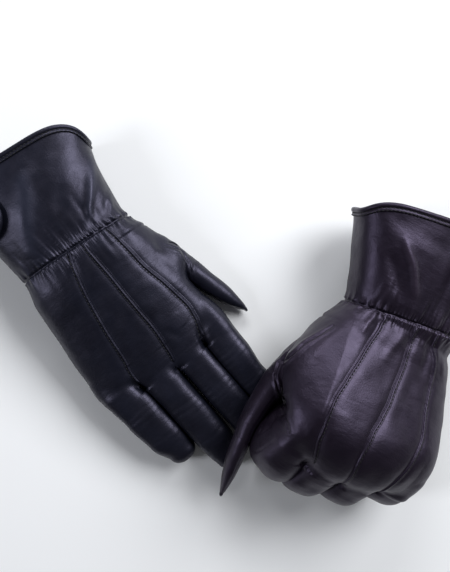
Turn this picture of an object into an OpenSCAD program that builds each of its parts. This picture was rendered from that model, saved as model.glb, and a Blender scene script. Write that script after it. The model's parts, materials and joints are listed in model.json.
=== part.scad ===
// A pair of dress gloves with gathered wrists, wide cuffs and snap tabs.
// The right glove lies flat, palm down. The left glove is curled into a loose fist
// and its thumb passes over the fingertips of the right glove.

/* [Leather] */
// thickness of the outer leather
leather = 1.2; // [0.8:0.1:1.6]
// width of one raised tuck on the back of the hand
tuck_width = 2.6; // [1.6:0.2:4]
// height of one raised tuck
tuck_height = 1.2; // [0.6:0.1:2]
// radius of the rolled binding at the cuff rim
binding_radius = 1.7; // [1.2:0.1:2.4]
// gap between a finger stall and the hand it is sewn to
seam_gap = 0.4; // [0.35:0.05:0.6]

/* [Cuff] */
// mean length of the right cuff at its two side seams
right_cuff_side = 56; // [50:1:70]
// extra length of the right cuff in the middle of its back
right_cuff_crown = 16; // [0:1:20]
// mean length of the left cuff at its two side seams
left_cuff_side = 62; // [50:1:70]
// extra length of the left cuff in the middle of its back
left_cuff_crown = 8; // [0:1:20]
// slant of the right cuff rim, longer on the little finger side
right_cuff_skew = 8; // [0:1:12]
// slant of the left cuff rim, longer on the little finger side
left_cuff_skew = 12; // [0:1:14]
// height of the hidden wrist elastic
elastic_height = 9; // [6:1:14]

/* [Snap tab] */
// width of the snap tab
tab_width = 28; // [24:1:29]
// distance from the wrist gather to the middle of the tab
tab_level = 48; // [44:1:48]
// diameter of the snap cap
cap_diameter = 12; // [10:0.5:14]
// diameter of the snap stud knob
knob_diameter = 4.2; // [3.6:0.2:5]

/* [Left fist] */
// bend of the left fingers at the knuckle row
fist_knuckle = 66; // [55:1:72]
// bend of the left fingers at the middle joint
fist_middle = 92; // [80:1:96]
// slope of the web between thumb and index of the left glove
droop = 0.35; // [0:0.05:0.5]
// bend of the left fingers at the end joint
fist_end = 48; // [35:1:55]

/* [Hidden] */
origin = [1.36, 20.27, 0];
round_steps = 48;
half = leather / 2;
e = 2.6;

// flat list helpers
function flat(l) = [for (r = l) for (p = r) p];
function unit(v) = v / norm(v);
function vol(p, f) = [for (t = f) cross(p[t[0]], p[t[1]]) * p[t[2]]] * [for (t = f) 1];
module solid(p, f) {
  polyhedron(points = p, convexity = 8,
    faces = vol(p, f) < 0 ? f : [for (t = f) [t[0], t[2], t[1]]]);
}
// triangles of an open grid of m rows and n columns, starting at point k
function grid(m, n, k, w) = [for (i = [0:m - 2], j = [0:n - 2])
  let (a = k + i * n + j, b = a + 1, c = a + n, d = c + 1)
  each (w == 0 ? [[a, b, d], [a, d, c]] : [[a, d, b], [a, c, d]])];
// triangles of a grid closed around its columns
function ring(m, n, k, w) = [for (i = [0:m - 2], j = [0:n - 1])
  let (a = k + i * n + j, b = k + i * n + (j + 1) % n, c = a + n, d = b + n)
  each (w == 0 ? [[a, b, d], [a, d, c]] : [[a, d, b], [a, c, d]])];
function border(m, n) = concat([for (j = [0:n - 1]) j], [for (i = [1:m - 1]) i * n + n - 1],
  [for (j = [n - 2:-1:0]) (m - 1) * n + j], [for (i = [m - 2:-1:1]) i * n]);
function wall(r, k) = [for (s = [0:len(r) - 1]) let (p = r[s], q = r[(s + 1) % len(r)])
  each [[q, p, p + k], [q, p + k, q + k]]];
// a panel between an outer and an inner grid of points
module patch(o, q) {
  m = len(o); n = len(o[0]); k = m * n;
  solid(concat(flat(o), flat(q)),
    concat(grid(m, n, 0, 0), grid(m, n, k, 1), wall(border(m, n), k)));
}
// a sleeve between an outer and an inner closed grid
module sleeve(o, q) {
  m = len(o); n = len(o[0]); k = m * n; z = (m - 1) * n;
  solid(concat(flat(o), flat(q)), concat(ring(m, n, 0, 0), ring(m, n, k, 1),
    wall([for (j = [0:n - 1]) j], k), wall([for (j = [n - 1:-1:0]) z + j], k)));
}
// a solid bar through closed rows, capped at both ends
module loft(o) {
  m = len(o); n = len(o[0]); k = m * n; u = [for (j = [0:n - 1]) 1 / n];
  solid(concat(flat(o), [u * o[0], u * o[m - 1]]), concat(ring(m, n, 0, 0),
    [for (j = [0:n - 1]) [(j + 1) % n, j, k]],
    [for (j = [0:n - 1]) [k - n + j, k - n + (j + 1) % n, k + 1]]));
}
// a closed rope through rows that come back to the first row
module rope(o) {
  m = len(o); n = len(o[0]);
  solid(flat(o), [for (i = [0:m - 1], j = [0:n - 1])
    let (a = i * n + j, b = i * n + (j + 1) % n, r = ((i + 1) % m) * n, c = r + j,
      d = r + (j + 1) % n) each [[a, b, d], [a, d, c]]]);
}

// planar walk: a place is [forward, height, bend]
function go(p, d) = [p[0] + d * cos(p[2]), p[1] - d * sin(p[2]), p[2]];
function arc(p, r, t) = let (k = t < 0 ? -1 : 1)
  [p[0] + k * r * (sin(p[2] + t) - sin(p[2])), p[1] + k * r * (cos(p[2] + t) - cos(p[2])),
  p[2] + t];

// glove record: side, place, heading, pitch, roll, cuff bend, half width, middle, half
// height, knuckle distance, knuckle bend, webs, knuckle radius, fingers, thumb, rim
function knuckle_tan(g, x) = g[12] * tan(abs(lookup(x, g[10])) / 2);
function knuckle_arc(g, x) = g[12] * abs(lookup(x, g[10])) * PI / 180;
function middle_line(g, x, s) =
  let (a = g[5], w = 28, p0 = [0, 0, a], rw = w / (abs(a) * PI / 180))
  s <= 0 ? go(p0, s) : s < w ? arc(p0, rw, -a * s / w) :
  let (p1 = arc(p0, rw, -a), k = lookup(x, g[9]) - knuckle_tan(g, x), l = knuckle_arc(g, x),
    f = lookup(x, g[10]))
  s < k ? go(p1, s - w) : let (p2 = go(p1, k - w))
  s < k + l ? arc(p2, g[12], f * (s - k) / l) : go(arc(p2, g[12], f), s - k - l);
// point of the hand and cuff surface: q across, side 1 back or -1 palm, s along, o outwards
function skin(g, q, side, s, o) =
  let (w = lookup(s, g[6]), c = lookup(s, g[7]), h = lookup(s, g[8]),
    p = middle_line(g, c + w * q, s),
    m = side * (h + o) * pow(max(0, 1 - pow(abs(q), e)), 1 / e)
      - droop * max(0, -42 - c - w * q) * (s > 0 && g[0] < 0 ? 1 : 0))
  [c + (w + o) * q, p[0] + m * sin(p[2]), p[1] + m * cos(p[2])];
function web(g, q) = q < g[11][0][0] ? g[11][0][1] : q < g[11][1][0] ? g[11][1][1] :
  q < g[11][2][0] ? g[11][2][1] : g[11][3][1];
function rim(g, q, side) = -(g[15][0] + g[15][2] * q
  + (side > 0 ? g[15][1] : 3) * (1 - pow(abs(q), 5)));
function across(g) = let (a = g[11][0][0], b = g[11][1][0], c = g[11][2][0], t = 0.006)
  [-1, -0.985, -0.94, -0.86, -0.75, a - t, a + t, a + 0.17, b - 0.14, b - t, b + t,
  b + 0.17, c - 0.17, c - t, c + t, 0.57, 0.7, 0.82, 0.92, 0.98, 1];
coarse = [-1, -0.97, -0.88, -0.68, -0.4, 0, 0.4, 0.68, 0.88, 0.97, 1];
// distances of one column from the gather to the web
function reach(g, q) = let (x = lookup(100, g[7]) + lookup(100, g[6]) * q, v = web(g, q),
  k = lookup(x, g[9]) - knuckle_tan(g, x), l = knuckle_arc(g, x))
  l < 4 ? [for (t = [0, 0.07, 0.14, 0.27, 0.45, 0.65, 0.83, 1]) v * t] :
  [0, 8, 17, 28, 46, k * 0.55 + 29, k, k + l / 4, k + l / 2, k + 3 * l / 4, k + l, v];
module shell(g, side) {
  c = across(g); r = [for (q = c) reach(g, q)]; n = len(r[0]);
  patch([for (i = [0:n - 1]) [for (j = [0:len(c) - 1]) skin(g, c[j], side, r[j][i], 0)]],
    [for (i = [0:n - 1]) [for (j = [0:len(c) - 1]) skin(g, c[j], side, r[j][i], -leather)]]);
}
steps_cuff = [1, 0.86, 0.66, 0.45, 0.26, 0.12, 0.03, 0];
module cuff(g, side) {
  patch([for (t = steps_cuff) [for (q = coarse) skin(g, q, side, rim(g, q, side) * t, 0)]],
    [for (t = steps_cuff) [for (q = coarse) skin(g, q, side, rim(g, q, side) * t, -leather)]]);
}
// the columns once around: back from little finger to thumb side, then the palm
around = concat([for (q = [1, 0.93, 0.75, 0.45, 0.15, -0.15, -0.45, -0.75, -0.93]) [q, 1]],
  [for (q = [-1, -0.93, -0.75, -0.45, -0.15, 0.15, 0.45, 0.75, 0.93]) [q, -1]]);
module binding(g) {
  rope([for (c = around) let (p = skin(g, c[0], c[1], rim(g, c[0], c[1]) - 1.9, -half),
      o = skin(g, c[0], c[1], rim(g, c[0], c[1]) - 1.9, 4), b = g[5], d = [0, cos(b), -sin(b)],
      n = unit(o - p)) [for (t = [0:45:359]) p + binding_radius * (cos(t) * n + sin(t) * d)]]);
}
module elastic(g) {
  s = [-elastic_height / 2, 0, elastic_height / 2];
  sleeve([for (t = s) [for (c = around) skin(g, c[0], c[1], t, -leather - 0.9)]],
    [for (t = s) [for (c = around) skin(g, c[0], c[1], t, -leather - 1.7)]]);
}
module lining(g) {
  t = [-0.9, -0.6, -0.3, 0, 0.2, 0.45, 0.68, 0.86];
  function far(g, c, t) = t < 0 ? -t * rim(g, c[0], c[1]) : t * 97;
  sleeve([for (i = t) [for (c = around) skin(g, c[0], c[1], far(g, c, i), -leather - 2.9)]],
    [for (i = t) [for (c = around) skin(g, c[0], c[1], far(g, c, i), -leather - 3.6)]]);
}
// one raised tuck from the gather to the base of two fingers
module tuck(g, q0, q1, s1) {
  t = [0.02, 0.1, 0.25, 0.4, 0.55, 0.7, 0.8, 0.87, 0.94, 1];
  d = tuck_width / 2 / 50;
  patch([for (i = t) [for (j = [-1, 0, 1])
      skin(g, q0 + (q1 - q0) * i + d * j, 1, s1 * i, j == 0 ? tuck_height : 0.35)]],
    [for (i = t) [for (j = [-1, 0, 1])
      skin(g, q0 + (q1 - q0) * i + d * j, 1, s1 * i, -0.45)]]);
}
module tucks(g) {
  w = g[11]; v = min(w[0][1], w[1][1]) - 6; u = min(w[1][1], w[2][1]) - 6;
  difference() {
    union() {
      tuck(g, -0.3, w[0][0], v); tuck(g, 0.03, w[1][0], u);
      tuck(g, 0.36, w[2][0], min(w[2][1], w[3][1]) - 6);
    }
    shell(g, 1);
  }
}

// stations of one stall: x, forward, height, bend, half width, half height
function rings(g, f) = let (
  p0 = middle_line(g, f[0], f[1] + seam_gap), r1 = f[5][1] + 0.8, r2 = f[5][2] + 0.8,
  t1 = r1 * tan(abs(f[3][0]) / 2), t2 = r2 * tan(abs(f[3][1]) / 2),
  n1 = ceil(abs(f[3][0]) / 24), n2 = ceil(abs(f[3][1]) / 24),
  l1 = f[4][0] - t1, p1 = go(p0, l1), p2 = arc(p1, r1, f[3][0]),
  p3 = go(p2, f[4][1] - t1 - t2), p4 = arc(p3, r2, f[3][1]), p5 = go(p4, f[4][2] - t2),
  st = concat([[p0, 0, 1], [go(p0, l1 / 2), 0.5, 1]],
    [for (i = [0:n1]) [arc(p1, r1, f[3][0] * i / n1), 1, 1]],
    [for (i = [0:n2]) [arc(p3, r2, f[3][1] * i / n2), 2, 1]],
    [[p5, 3, 1], [go(p5, f[5][3] * 0.55), 3, 0.84], [go(p5, f[5][3] * 0.88), 3, 0.5],
    [go(p5, f[5][3]), 3, 0.12]]))
  [for (a = st) let (w = lookup(a[1], [for (i = [0:3]) [i, f[6][i]]]),
    h = lookup(a[1], [for (i = [0:3]) [i, f[5][i]]]))
    [f[0] + f[2] * a[1] / 3, a[0][0], a[0][1], a[0][2], w * a[2], h * a[2]]];
function on_ring(r, t, o, b) = let (w = max(0.25, r[4] - o) * cos(t),
  h = max(0.25, r[5] - o) * sin(t), c = cos(r[3]), s = sin(r[3]))
  [r[0] + w, r[1] + h * s - b * c, r[2] + h * c + b * s];
// the first row of a stall follows the curved edge of the panel that it is sewn to
function sewn_row(g, f, a, o) = [for (t = a) let (x = f[0] + (f[6][0] - o) * cos(t),
  p = middle_line(g, x, f[1] + seam_gap), h = (f[5][0] - o) * sin(t))
  [x, p[0] + h * sin(p[2]), p[1] + h * cos(p[2])]];
module stall(g, f, a) {
  r = rings(g, f); m = len(r) - 1;
  patch(concat([sewn_row(g, f, a, 0)], [for (i = [1:m]) [for (t = a) on_ring(r[i], t, 0, 0)]]),
    concat([sewn_row(g, f, a, leather)],
      [for (i = [1:m]) [for (t = a) on_ring(r[i], t, leather, i == m ? leather : 0)]]));
}
// the space of one whole stall, with some room around it
module stall_room(g, f, o) {
  r = rings(g, f);
  loft([for (i = [0:len(r) - 1]) [for (t = [0:24:359]) on_ring(r[i], t, -o, i == 0 ? 2 : 0)]]);
}
module finger_back(g, n) { stall(g, g[13][n], [28, 52, 76, 104, 128, 152]); }
module finger_front(g, n) { stall(g, g[13][n], [208, 232, 256, 284, 308, 332]); }
module finger_forks(g, n) {
  stall(g, g[13][n], [-28, 0, 28]); stall(g, g[13][n], [152, 180, 208]);
}

// thumb stations are given in the level frame of the glove: x, y, z, half width, half height
function thumb_rows(t, a, o) = [for (i = [0:len(t) - 1]) let (
  p = [t[i][0], t[i][1], t[i][2]], b = t[max(0, i - 1)], c = t[min(len(t) - 1, i + 1)],
  d = unit([c[0] - b[0], c[1] - b[1], c[2] - b[2]]), u = unit(cross(d, [0, 0, 1])),
  n = cross(u, d), w = max(0.3, t[i][3] - o), h = max(0.3, t[i][4] - o),
  k = i == len(t) - 1 ? o : 0)
  [for (v = a) p - k * d + w * cos(v) * u + h * sin(v) * n]];
module thumb_side(g, a) {
  t = [for (i = [g[17]:len(g[14]) - 1]) g[14][i]];
  patch(thumb_rows(t, a, 0), thumb_rows(t, a, leather));
}
// the solid inside of the hand, used to trim the thumb
module hand_core(g, o) {
  s = [2, 14, 28, 46, 64, 74, 80, 86, 92, 98, 102];
  a = [1, 0.985, 0.94, 0.86, 0.6, 0.2, -0.2, -0.6, -0.86, -0.94, -0.985];
  c = concat([for (q = a) [q, 1]], [for (q = a) [-q, -1]]);
  loft([for (t = s) [for (k = c) skin(g, k[0], k[1], t, o)]]);
}
// the thumb stall keeps clear of the hand and of the index stall beside it
module thumb_half(g, a) {
  difference() {
    level(g) thumb_side(g, a);
    posed(g) hand_core(g, 0.6);
    posed(g) stall_room(g, g[13][0], 0.5);
  }
}
module thumb_back(g) { thumb_half(g, [0:30:180]); }
module thumb_front(g) { thumb_half(g, [180:30:360]); }
function gusset_path(g) = let (a = g[14][0], b = g[14][1],
  d = unit([b[0] - a[0], b[1] - a[1], b[2] - a[2]]))
  concat(g[16], [for (k = [1.6, 0.45])
    [a[0] - k * d[0], a[1] - k * d[1], a[2] - k * d[2], a[3], a[4]]]);
// the gusset joins the thumb stall to the side of the hand
module gusset(g) {
  difference() {
    level(g) sleeve(thumb_rows(gusset_path(g), [0:24:359], 0),
      thumb_rows(gusset_path(g), [0:24:359], leather));
    posed(g) hand_core(g, -0.4);
    posed(g) shell(g, 1);
    posed(g) shell(g, -1);
  }
}

// snap tab
tab_end = 0.44;
snap_q = 0.67;
function tab_half(q) = q > 0.73 ? tab_width / 2 :
  tab_width / 2 * sqrt(max(0.02, 1 - pow((0.73 - q) / (0.732 - tab_end), 2)));
function tab_rise(q) = 0.6 + 2.5 * min(1, (0.95 - q) / 0.18);
module tab_sheet(g, qs, o) {
  patch([for (q = qs) [for (t = [-1:0.5:1])
      skin(g, q, 1, -tab_level + t * tab_half(q), tab_rise(q) + o)]],
    [for (q = qs) [for (t = [-1:0.5:1])
      skin(g, q, 1, -tab_level + t * tab_half(q), tab_rise(q))]]);
}
module at_snap(g) {
  p = skin(g, snap_q, 1, -tab_level, 0);
  a = skin(g, snap_q + 0.01, 1, -tab_level, 0) - skin(g, snap_q - 0.01, 1, -tab_level, 0);
  b = skin(g, snap_q, 1, 1 - tab_level, 0) - skin(g, snap_q, 1, -1 - tab_level, 0);
  x = unit(a); z = unit(cross(a, b)); y = cross(z, x);
  multmatrix([[x[0], y[0], z[0], p[0]], [x[1], y[1], z[1], p[1]], [x[2], y[2], z[2], p[2]]])
    children();
}
module tab(g) {
  difference() {
    tab_sheet(g, [0.945, 0.925, 0.895, 0.85, 0.8, 0.745, 0.68, 0.61, 0.54, 0.48, 0.45, 0.441], 1.6);
    at_snap(g) translate([0, 0, 1]) cylinder(d = 10.6, h = 2.25, $fn = round_steps);
    at_snap(g) cylinder(d = 3.6, h = 9, $fn = 24);
  }
}
// the sewn part of the tab, wrapped around the little finger side of the cuff
module tab_base(g) {
  function place(i) = i == 0 ? [0.953, 1] : i == 1 ? [0.985, 1] : i == 2 ? [1, 1] :
    i == 3 ? [0.985, -1] : i == 4 ? [0.94, -1] : i == 5 ? [0.86, -1] : [0.76, -1];
  patch([for (i = [0:6]) [for (t = [-1:0.5:1])
      skin(g, place(i)[0], place(i)[1], -tab_level + t * tab_width / 2, i == 6 ? 1.5 : 2)]],
    [for (i = [0:6]) [for (t = [-1:0.5:1])
      skin(g, place(i)[0], place(i)[1], -tab_level + t * tab_width / 2, 0.3)]]);
}
module snap_stud(g) {
  at_snap(g) rotate_extrude($fn = round_steps)
    polygon([[1.1, 0.15], [4.6, 0.15], [4.6, 0.6], [2.2, 0.9], [knob_diameter / 2 - 0.3, 1.1],
      [knob_diameter / 2, 1.5], [knob_diameter / 2, 1.9], [knob_diameter / 2 - 0.5, 2.2],
      [1.1, 2.2]]);
}
module snap_post(g) {
  at_snap(g) rotate_extrude($fn = round_steps)
    polygon([[0, -2.9], [4.4, -2.9], [4.4, -2.3], [1.05, -2.1], [1.05, 1.8], [0, 1.8]]);
}
module snap_socket(g) {
  at_snap(g) rotate_extrude($fn = round_steps)
    polygon([[3.3, 1.35], [4.9, 1.35], [4.9, 3.1], [1.9, 3.1], [1.9, 2.7], [3.3, 2.7]]);
}
module snap_cap(g) {
  r = cap_diameter / 2;
  at_snap(g) rotate_extrude($fn = round_steps)
    polygon([[0, 3.2], [1.7, 3.2], [1.7, 4.85], [r - 0.3, 4.85], [r, 5.2], [r - 0.4, 5.7],
      [r * 0.7, 6.2], [r * 0.35, 6.5], [0, 6.6]]);
}
module back_of_cuff(g) {
  difference() {
    cuff(g, 1);
    at_snap(g) translate([0, 0, -4]) cylinder(d = 2.3, h = 6, $fn = 24);
  }
}

// the right glove, flat and palm down
right = [1, [-103, 28.5, 26.28], -49.1, -6.6, 0, -6.6,
  [[-80, 54.5], [-62, 53.5], [-45, 48.5], [-28, 45.5], [-12, 43.5], [0, 42], [8, 43.5], [16, 45.6],
    [28, 47], [49, 48.7], [70, 50.2], [91, 52], [105, 52.5]],
  [[-80, -9], [-62, -6.5], [-28, -0.5], [0, 2], [16, 3.5], [28, 4], [49, 5.7], [70, 7.2],
    [91, 7.7], [105, 7]],
  [[-80, 24.6], [-58, 25.2], [-45, 26.6], [-15, 25], [-5, 23.4], [0, 22.8], [5, 23.4], [15, 24], [40, 21.5],
    [60, 19.5], [86, 16.5], [104, 13]],
  [[-34, 86], [-10, 92], [16, 89], [44, 79]], [[-34, -3], [44, -3]],
  [[-0.558, 104], [-0.08, 110], [0.434, 108], [1, 98]], 17,
  [[-34.2, 104, 4, [2, 1], [24, 23, 18], [11.7, 10.8, 9.8, 8], [11.4, 10.6, 10, 8.2]],
    [-9.75, 110, 0, [2, 2], [31, 28, 20], [12.1, 11.4, 10.6, 8.8], [11.9, 11.6, 11, 9]],
    [16.3, 108, 0, [2, 2], [29, 26, 18], [12.6, 11.4, 10.6, 8.8], [12.8, 12.4, 11.8, 9.6]],
    [44.9, 98, -4, [3, 2], [22, 21, 16], [12.6, 11.2, 10.2, 8.4], [14.2, 13.4, 12.2, 9.2]]],
  [[-44.5, 47.4, -12, 8.2, 10], [-46.5, 57, -12.6, 8, 10], [-49, 68, -13.4, 7.7, 9.6],
    [-51.3, 79, -14.5, 7.6, 8.8], [-54, 90, -16, 6.4, 7.8], [-56, 99, -17.6, 5, 6.6],
    [-58, 106, -19, 3.2, 5], [-59.5, 111, -20.3, 1.2, 2.6]],
  [right_cuff_side, right_cuff_crown, right_cuff_skew],
  [[-30, 20, -4, 12, 14], [-35, 30, -8, 11, 13], [-41, 40, -11, 9, 11]],
  0];
// the left glove, curled into a fist with the thumb side raised
left = [-1, [118, -29, 30.44], -110.5, 27, 20, 26,
  [[-80, 54], [-62, 52], [-45, 48], [-28, 45.5], [-12, 43.5], [0, 42], [10, 46.7], [24, 52.5],
    [38, 57], [52, 60], [64, 60.2], [76, 59], [88, 57], [100, 55.3], [110, 54.8]],
  [[-80, -27], [-40, -13], [0, -1], [10, -0.8], [24, -2.5], [38, -4], [52, -5], [64, -3.8],
    [76, -1.5], [88, 1], [100, 2.7], [110, 3.2]],
  [[-80, 24], [-60, 25], [-48, 26.6], [-15, 25.4], [-5, 23.4], [0, 22.8], [5, 23.4], [15, 24], [40, 21],
    [70, 18.5], [86, 17], [110, 13.4]],
  [[-38, 90], [-12, 95], [15, 92], [43, 84]], [[-38, fist_knuckle], [43, fist_knuckle + 3]],
  [[-0.518, 108], [-0.031, 113], [0.471, 110.5], [1, 102]], 19,
  [[-38.1, 108, 0, [fist_middle, fist_end], [25, 27, 17], [13, 12.4, 11, 8.6],
      [12, 11.2, 9.8, 7.8]],
    [-12, 113, 0, [fist_middle + 3, fist_end], [28, 29, 18], [13, 12.6, 11, 8.6],
      [12.6, 12.2, 11, 8.6]],
    [15, 110.5, 0, [fist_middle + 5, fist_end], [25, 27, 17], [13, 12.4, 11, 8.6],
      [12.8, 12.2, 11, 8.6]],
    [43.5, 102, 2, [fist_middle + 5, fist_end], [17.5, 23.5, 15], [13, 12, 10.4, 8.4],
      [13.6, 12.6, 11, 8.4]]],
  [[-57, 44, 9.5, 10.5, 11], [-63.8, 54, 10, 8.4, 11], [-70.2, 66, 11, 6.4, 10.6],
    [-74.6, 82, 11.5, 5.6, 10.2], [-76.6, 100, 10.5, 5.4, 9.8], [-76, 118, 7, 5.2, 8.8],
    [-75, 132, 3, 4.4, 7.6], [-74, 142, -1, 2.8, 5.2], [-73.4, 149, -3.2, 1, 2.2]],
  [left_cuff_side, left_cuff_crown, left_cuff_skew],
  [[-32, 10, 6, 13, 13], [-43, 24, 8, 12, 12], [-52, 36.5, 9, 11.2, 11.2]],
  0];

module level(g) { translate(g[1] + origin) rotate([0, 0, g[2] - 90]) scale([g[0], 1, 1]) children(); }
module posed(g) {
  translate(g[1] + origin) rotate([0, 0, g[2] - 90]) rotate([g[3], 0, 0]) rotate([0, g[0] * g[4], 0])
    scale([g[0], 1, 1]) children();
}

skin_r = [0.07, 0.075, 0.10]; skin_l = [0.10, 0.075, 0.09];
function shade(g) = g[0] > 0 ? skin_r : skin_l;
side_names = ["back_panel", "palm_panel", "points", "cuff_back", "cuff_palm", "cuff_binding",
  "wrist_elastic", "lining", "tab_base", "tab", "snap_stud", "snap_post", "snap_socket",
  "snap_cap", "thumb_gusset", "thumb_back", "thumb_front", "index_back", "index_front",
  "index_forks", "middle_back", "middle_front", "middle_forks", "ring_back", "ring_front",
  "ring_forks", "little_back", "little_front", "little_forks"];

module piece(g, n) {
  if (n == 0) color(shade(g)) posed(g) shell(g, 1);
  if (n == 1) color(shade(g) * 1.15) posed(g) shell(g, -1);
  if (n == 2) color(shade(g) * 1.6) posed(g) tucks(g);
  if (n == 3) color(shade(g) * 1.1) posed(g) back_of_cuff(g);
  if (n == 4) color(shade(g) * 1.25) posed(g) cuff(g, -1);
  if (n == 5) color(shade(g) * 1.7) posed(g) binding(g);
  if (n == 6) color([0.85, 0.84, 0.8]) posed(g) elastic(g);
  if (n == 7) color([0.22, 0.22, 0.24]) posed(g) lining(g);
  if (n == 8) color(shade(g) * 1.3) posed(g) tab_base(g);
  if (n == 9) color(shade(g) * 1.5) posed(g) tab(g);
  if (n == 10) color([0.5, 0.5, 0.5]) posed(g) snap_stud(g);
  if (n == 11) color([0.55, 0.55, 0.52]) posed(g) snap_post(g);
  if (n == 12) color([0.5, 0.5, 0.5]) posed(g) snap_socket(g);
  if (n == 13) color([0.2, 0.2, 0.22]) posed(g) snap_cap(g);
  if (n == 14) color(shade(g) * 1.2) gusset(g);
  if (n == 15) color(shade(g)) thumb_back(g);
  if (n == 16) color(shade(g) * 1.2) thumb_front(g);
  if (n > 16) {
    k = floor((n - 17) / 3); m = (n - 17) % 3;
    if (m == 0) color(shade(g)) posed(g) finger_back(g, k);
    if (m == 1) color(shade(g) * 1.15) posed(g) finger_front(g, k);
    if (m == 2) color(shade(g) * 1.35) posed(g) finger_forks(g, k);
  }
}

module right_back_panel() { piece(right, 0); }
module right_palm_panel() { piece(right, 1); }
module right_points() { piece(right, 2); }
module right_cuff_back() { piece(right, 3); }
module right_cuff_palm() { piece(right, 4); }
module right_cuff_binding() { piece(right, 5); }
module right_wrist_elastic() { piece(right, 6); }
module right_lining() { piece(right, 7); }
module right_tab_base() { piece(right, 8); }
module right_tab() { piece(right, 9); }
module right_snap_stud() { piece(right, 10); }
module right_snap_post() { piece(right, 11); }
module right_snap_socket() { piece(right, 12); }
module right_snap_cap() { piece(right, 13); }
module right_thumb_gusset() { piece(right, 14); }
module right_thumb_back() { piece(right, 15); }
module right_thumb_front() { piece(right, 16); }
module right_index_back() { piece(right, 17); }
module right_index_front() { piece(right, 18); }
module right_index_forks() { piece(right, 19); }
module right_middle_back() { piece(right, 20); }
module right_middle_front() { piece(right, 21); }
module right_middle_forks() { piece(right, 22); }
module right_ring_back() { piece(right, 23); }
module right_ring_front() { piece(right, 24); }
module right_ring_forks() { piece(right, 25); }
module right_little_back() { piece(right, 26); }
module right_little_front() { piece(right, 27); }
module right_little_forks() { piece(right, 28); }
module left_back_panel() { piece(left, 0); }
module left_palm_panel() { piece(left, 1); }
module left_points() { piece(left, 2); }
module left_cuff_back() { piece(left, 3); }
module left_cuff_palm() { piece(left, 4); }
module left_cuff_binding() { piece(left, 5); }
module left_wrist_elastic() { piece(left, 6); }
module left_lining() { piece(left, 7); }
module left_tab_base() { piece(left, 8); }
module left_tab() { piece(left, 9); }
module left_snap_stud() { piece(left, 10); }
module left_snap_post() { piece(left, 11); }
module left_snap_socket() { piece(left, 12); }
module left_snap_cap() { piece(left, 13); }
module left_thumb_gusset() { piece(left, 14); }
module left_thumb_back() { piece(left, 15); }
module left_thumb_front() { piece(left, 16); }
module left_index_back() { piece(left, 17); }
module left_index_front() { piece(left, 18); }
module left_index_forks() { piece(left, 19); }
module left_middle_back() { piece(left, 20); }
module left_middle_front() { piece(left, 21); }
module left_middle_forks() { piece(left, 22); }
module left_ring_back() { piece(left, 23); }
module left_ring_front() { piece(left, 24); }
module left_ring_forks() { piece(left, 25); }
module left_little_back() { piece(left, 26); }
module left_little_front() { piece(left, 27); }
module left_little_forks() { piece(left, 28); }

right_back_panel();
right_palm_panel();
right_points();
right_cuff_back();
right_cuff_palm();
right_cuff_binding();
right_wrist_elastic();
right_lining();
right_tab_base();
right_tab();
right_snap_stud();
right_snap_post();
right_snap_socket();
right_snap_cap();
right_thumb_gusset();
right_thumb_back();
right_thumb_front();
right_index_back();
right_index_front();
right_index_forks();
right_middle_back();
right_middle_front();
right_middle_forks();
right_ring_back();
right_ring_front();
right_ring_forks();
right_little_back();
right_little_front();
right_little_forks();
left_back_panel();
left_palm_panel();
left_points();
left_cuff_back();
left_cuff_palm();
left_cuff_binding();
left_wrist_elastic();
left_lining();
left_tab_base();
left_tab();
left_snap_stud();
left_snap_post();
left_snap_socket();
left_snap_cap();
left_thumb_gusset();
left_thumb_back();
left_thumb_front();
left_index_back();
left_index_front();
left_index_forks();
left_middle_back();
left_middle_front();
left_middle_forks();
left_ring_back();
left_ring_front();
left_ring_forks();
left_little_back();
left_little_front();
left_little_forks();
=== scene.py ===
"""A pair of black leather dress gloves, one flat and one curled into a fist.

The leather is meshed from smooth implicit forms that repeat the part's own measurements, cut into
panels along its seams, and given thickness. Lengths are in millimetres until a mesh is made.
"""
import math

import bpy
import numpy as np
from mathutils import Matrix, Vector
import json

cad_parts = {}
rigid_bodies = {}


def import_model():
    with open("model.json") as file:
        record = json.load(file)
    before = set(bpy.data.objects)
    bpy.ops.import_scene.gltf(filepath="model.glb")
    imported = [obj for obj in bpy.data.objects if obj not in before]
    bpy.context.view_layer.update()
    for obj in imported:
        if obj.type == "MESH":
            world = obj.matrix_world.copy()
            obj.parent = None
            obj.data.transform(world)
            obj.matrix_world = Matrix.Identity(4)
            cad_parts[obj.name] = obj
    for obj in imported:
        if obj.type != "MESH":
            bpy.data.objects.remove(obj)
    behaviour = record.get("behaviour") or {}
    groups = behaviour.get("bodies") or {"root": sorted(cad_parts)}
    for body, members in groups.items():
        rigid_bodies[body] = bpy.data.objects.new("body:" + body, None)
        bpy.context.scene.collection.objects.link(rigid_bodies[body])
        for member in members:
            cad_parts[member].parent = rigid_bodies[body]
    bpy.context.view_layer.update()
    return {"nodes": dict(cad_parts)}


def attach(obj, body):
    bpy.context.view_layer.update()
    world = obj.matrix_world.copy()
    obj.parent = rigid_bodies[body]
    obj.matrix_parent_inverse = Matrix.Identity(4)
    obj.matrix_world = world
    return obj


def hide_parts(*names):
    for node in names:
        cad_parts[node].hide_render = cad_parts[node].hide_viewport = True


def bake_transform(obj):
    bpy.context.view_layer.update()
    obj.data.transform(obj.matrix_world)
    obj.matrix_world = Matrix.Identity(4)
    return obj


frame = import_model()
CELL = 0.95      # lattice step of the leather meshes
LEATHER = 0.9                      # thickness of the leather
SEAM_GAP = 0.4                     # how far past its web a stall's middle line starts
HAND_POWER = 2.6                   # roundness of the hand's cross-section: 2 is an ellipse
WRIST_WIDTH, WRIST_HEIGHT = 42, 22.8   # half sizes of the form at the gather
WRIST_BEND = 28                    # length of the bent stretch past the gather
DROOP_FROM = -42                   # x past which the thumb side of the form hangs down
FORK = 0.469                       # height share of the strip between the halves of a stall
CHEEK_ROUND = 7.0                  # rounding where a bulge grows out of the form
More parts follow.
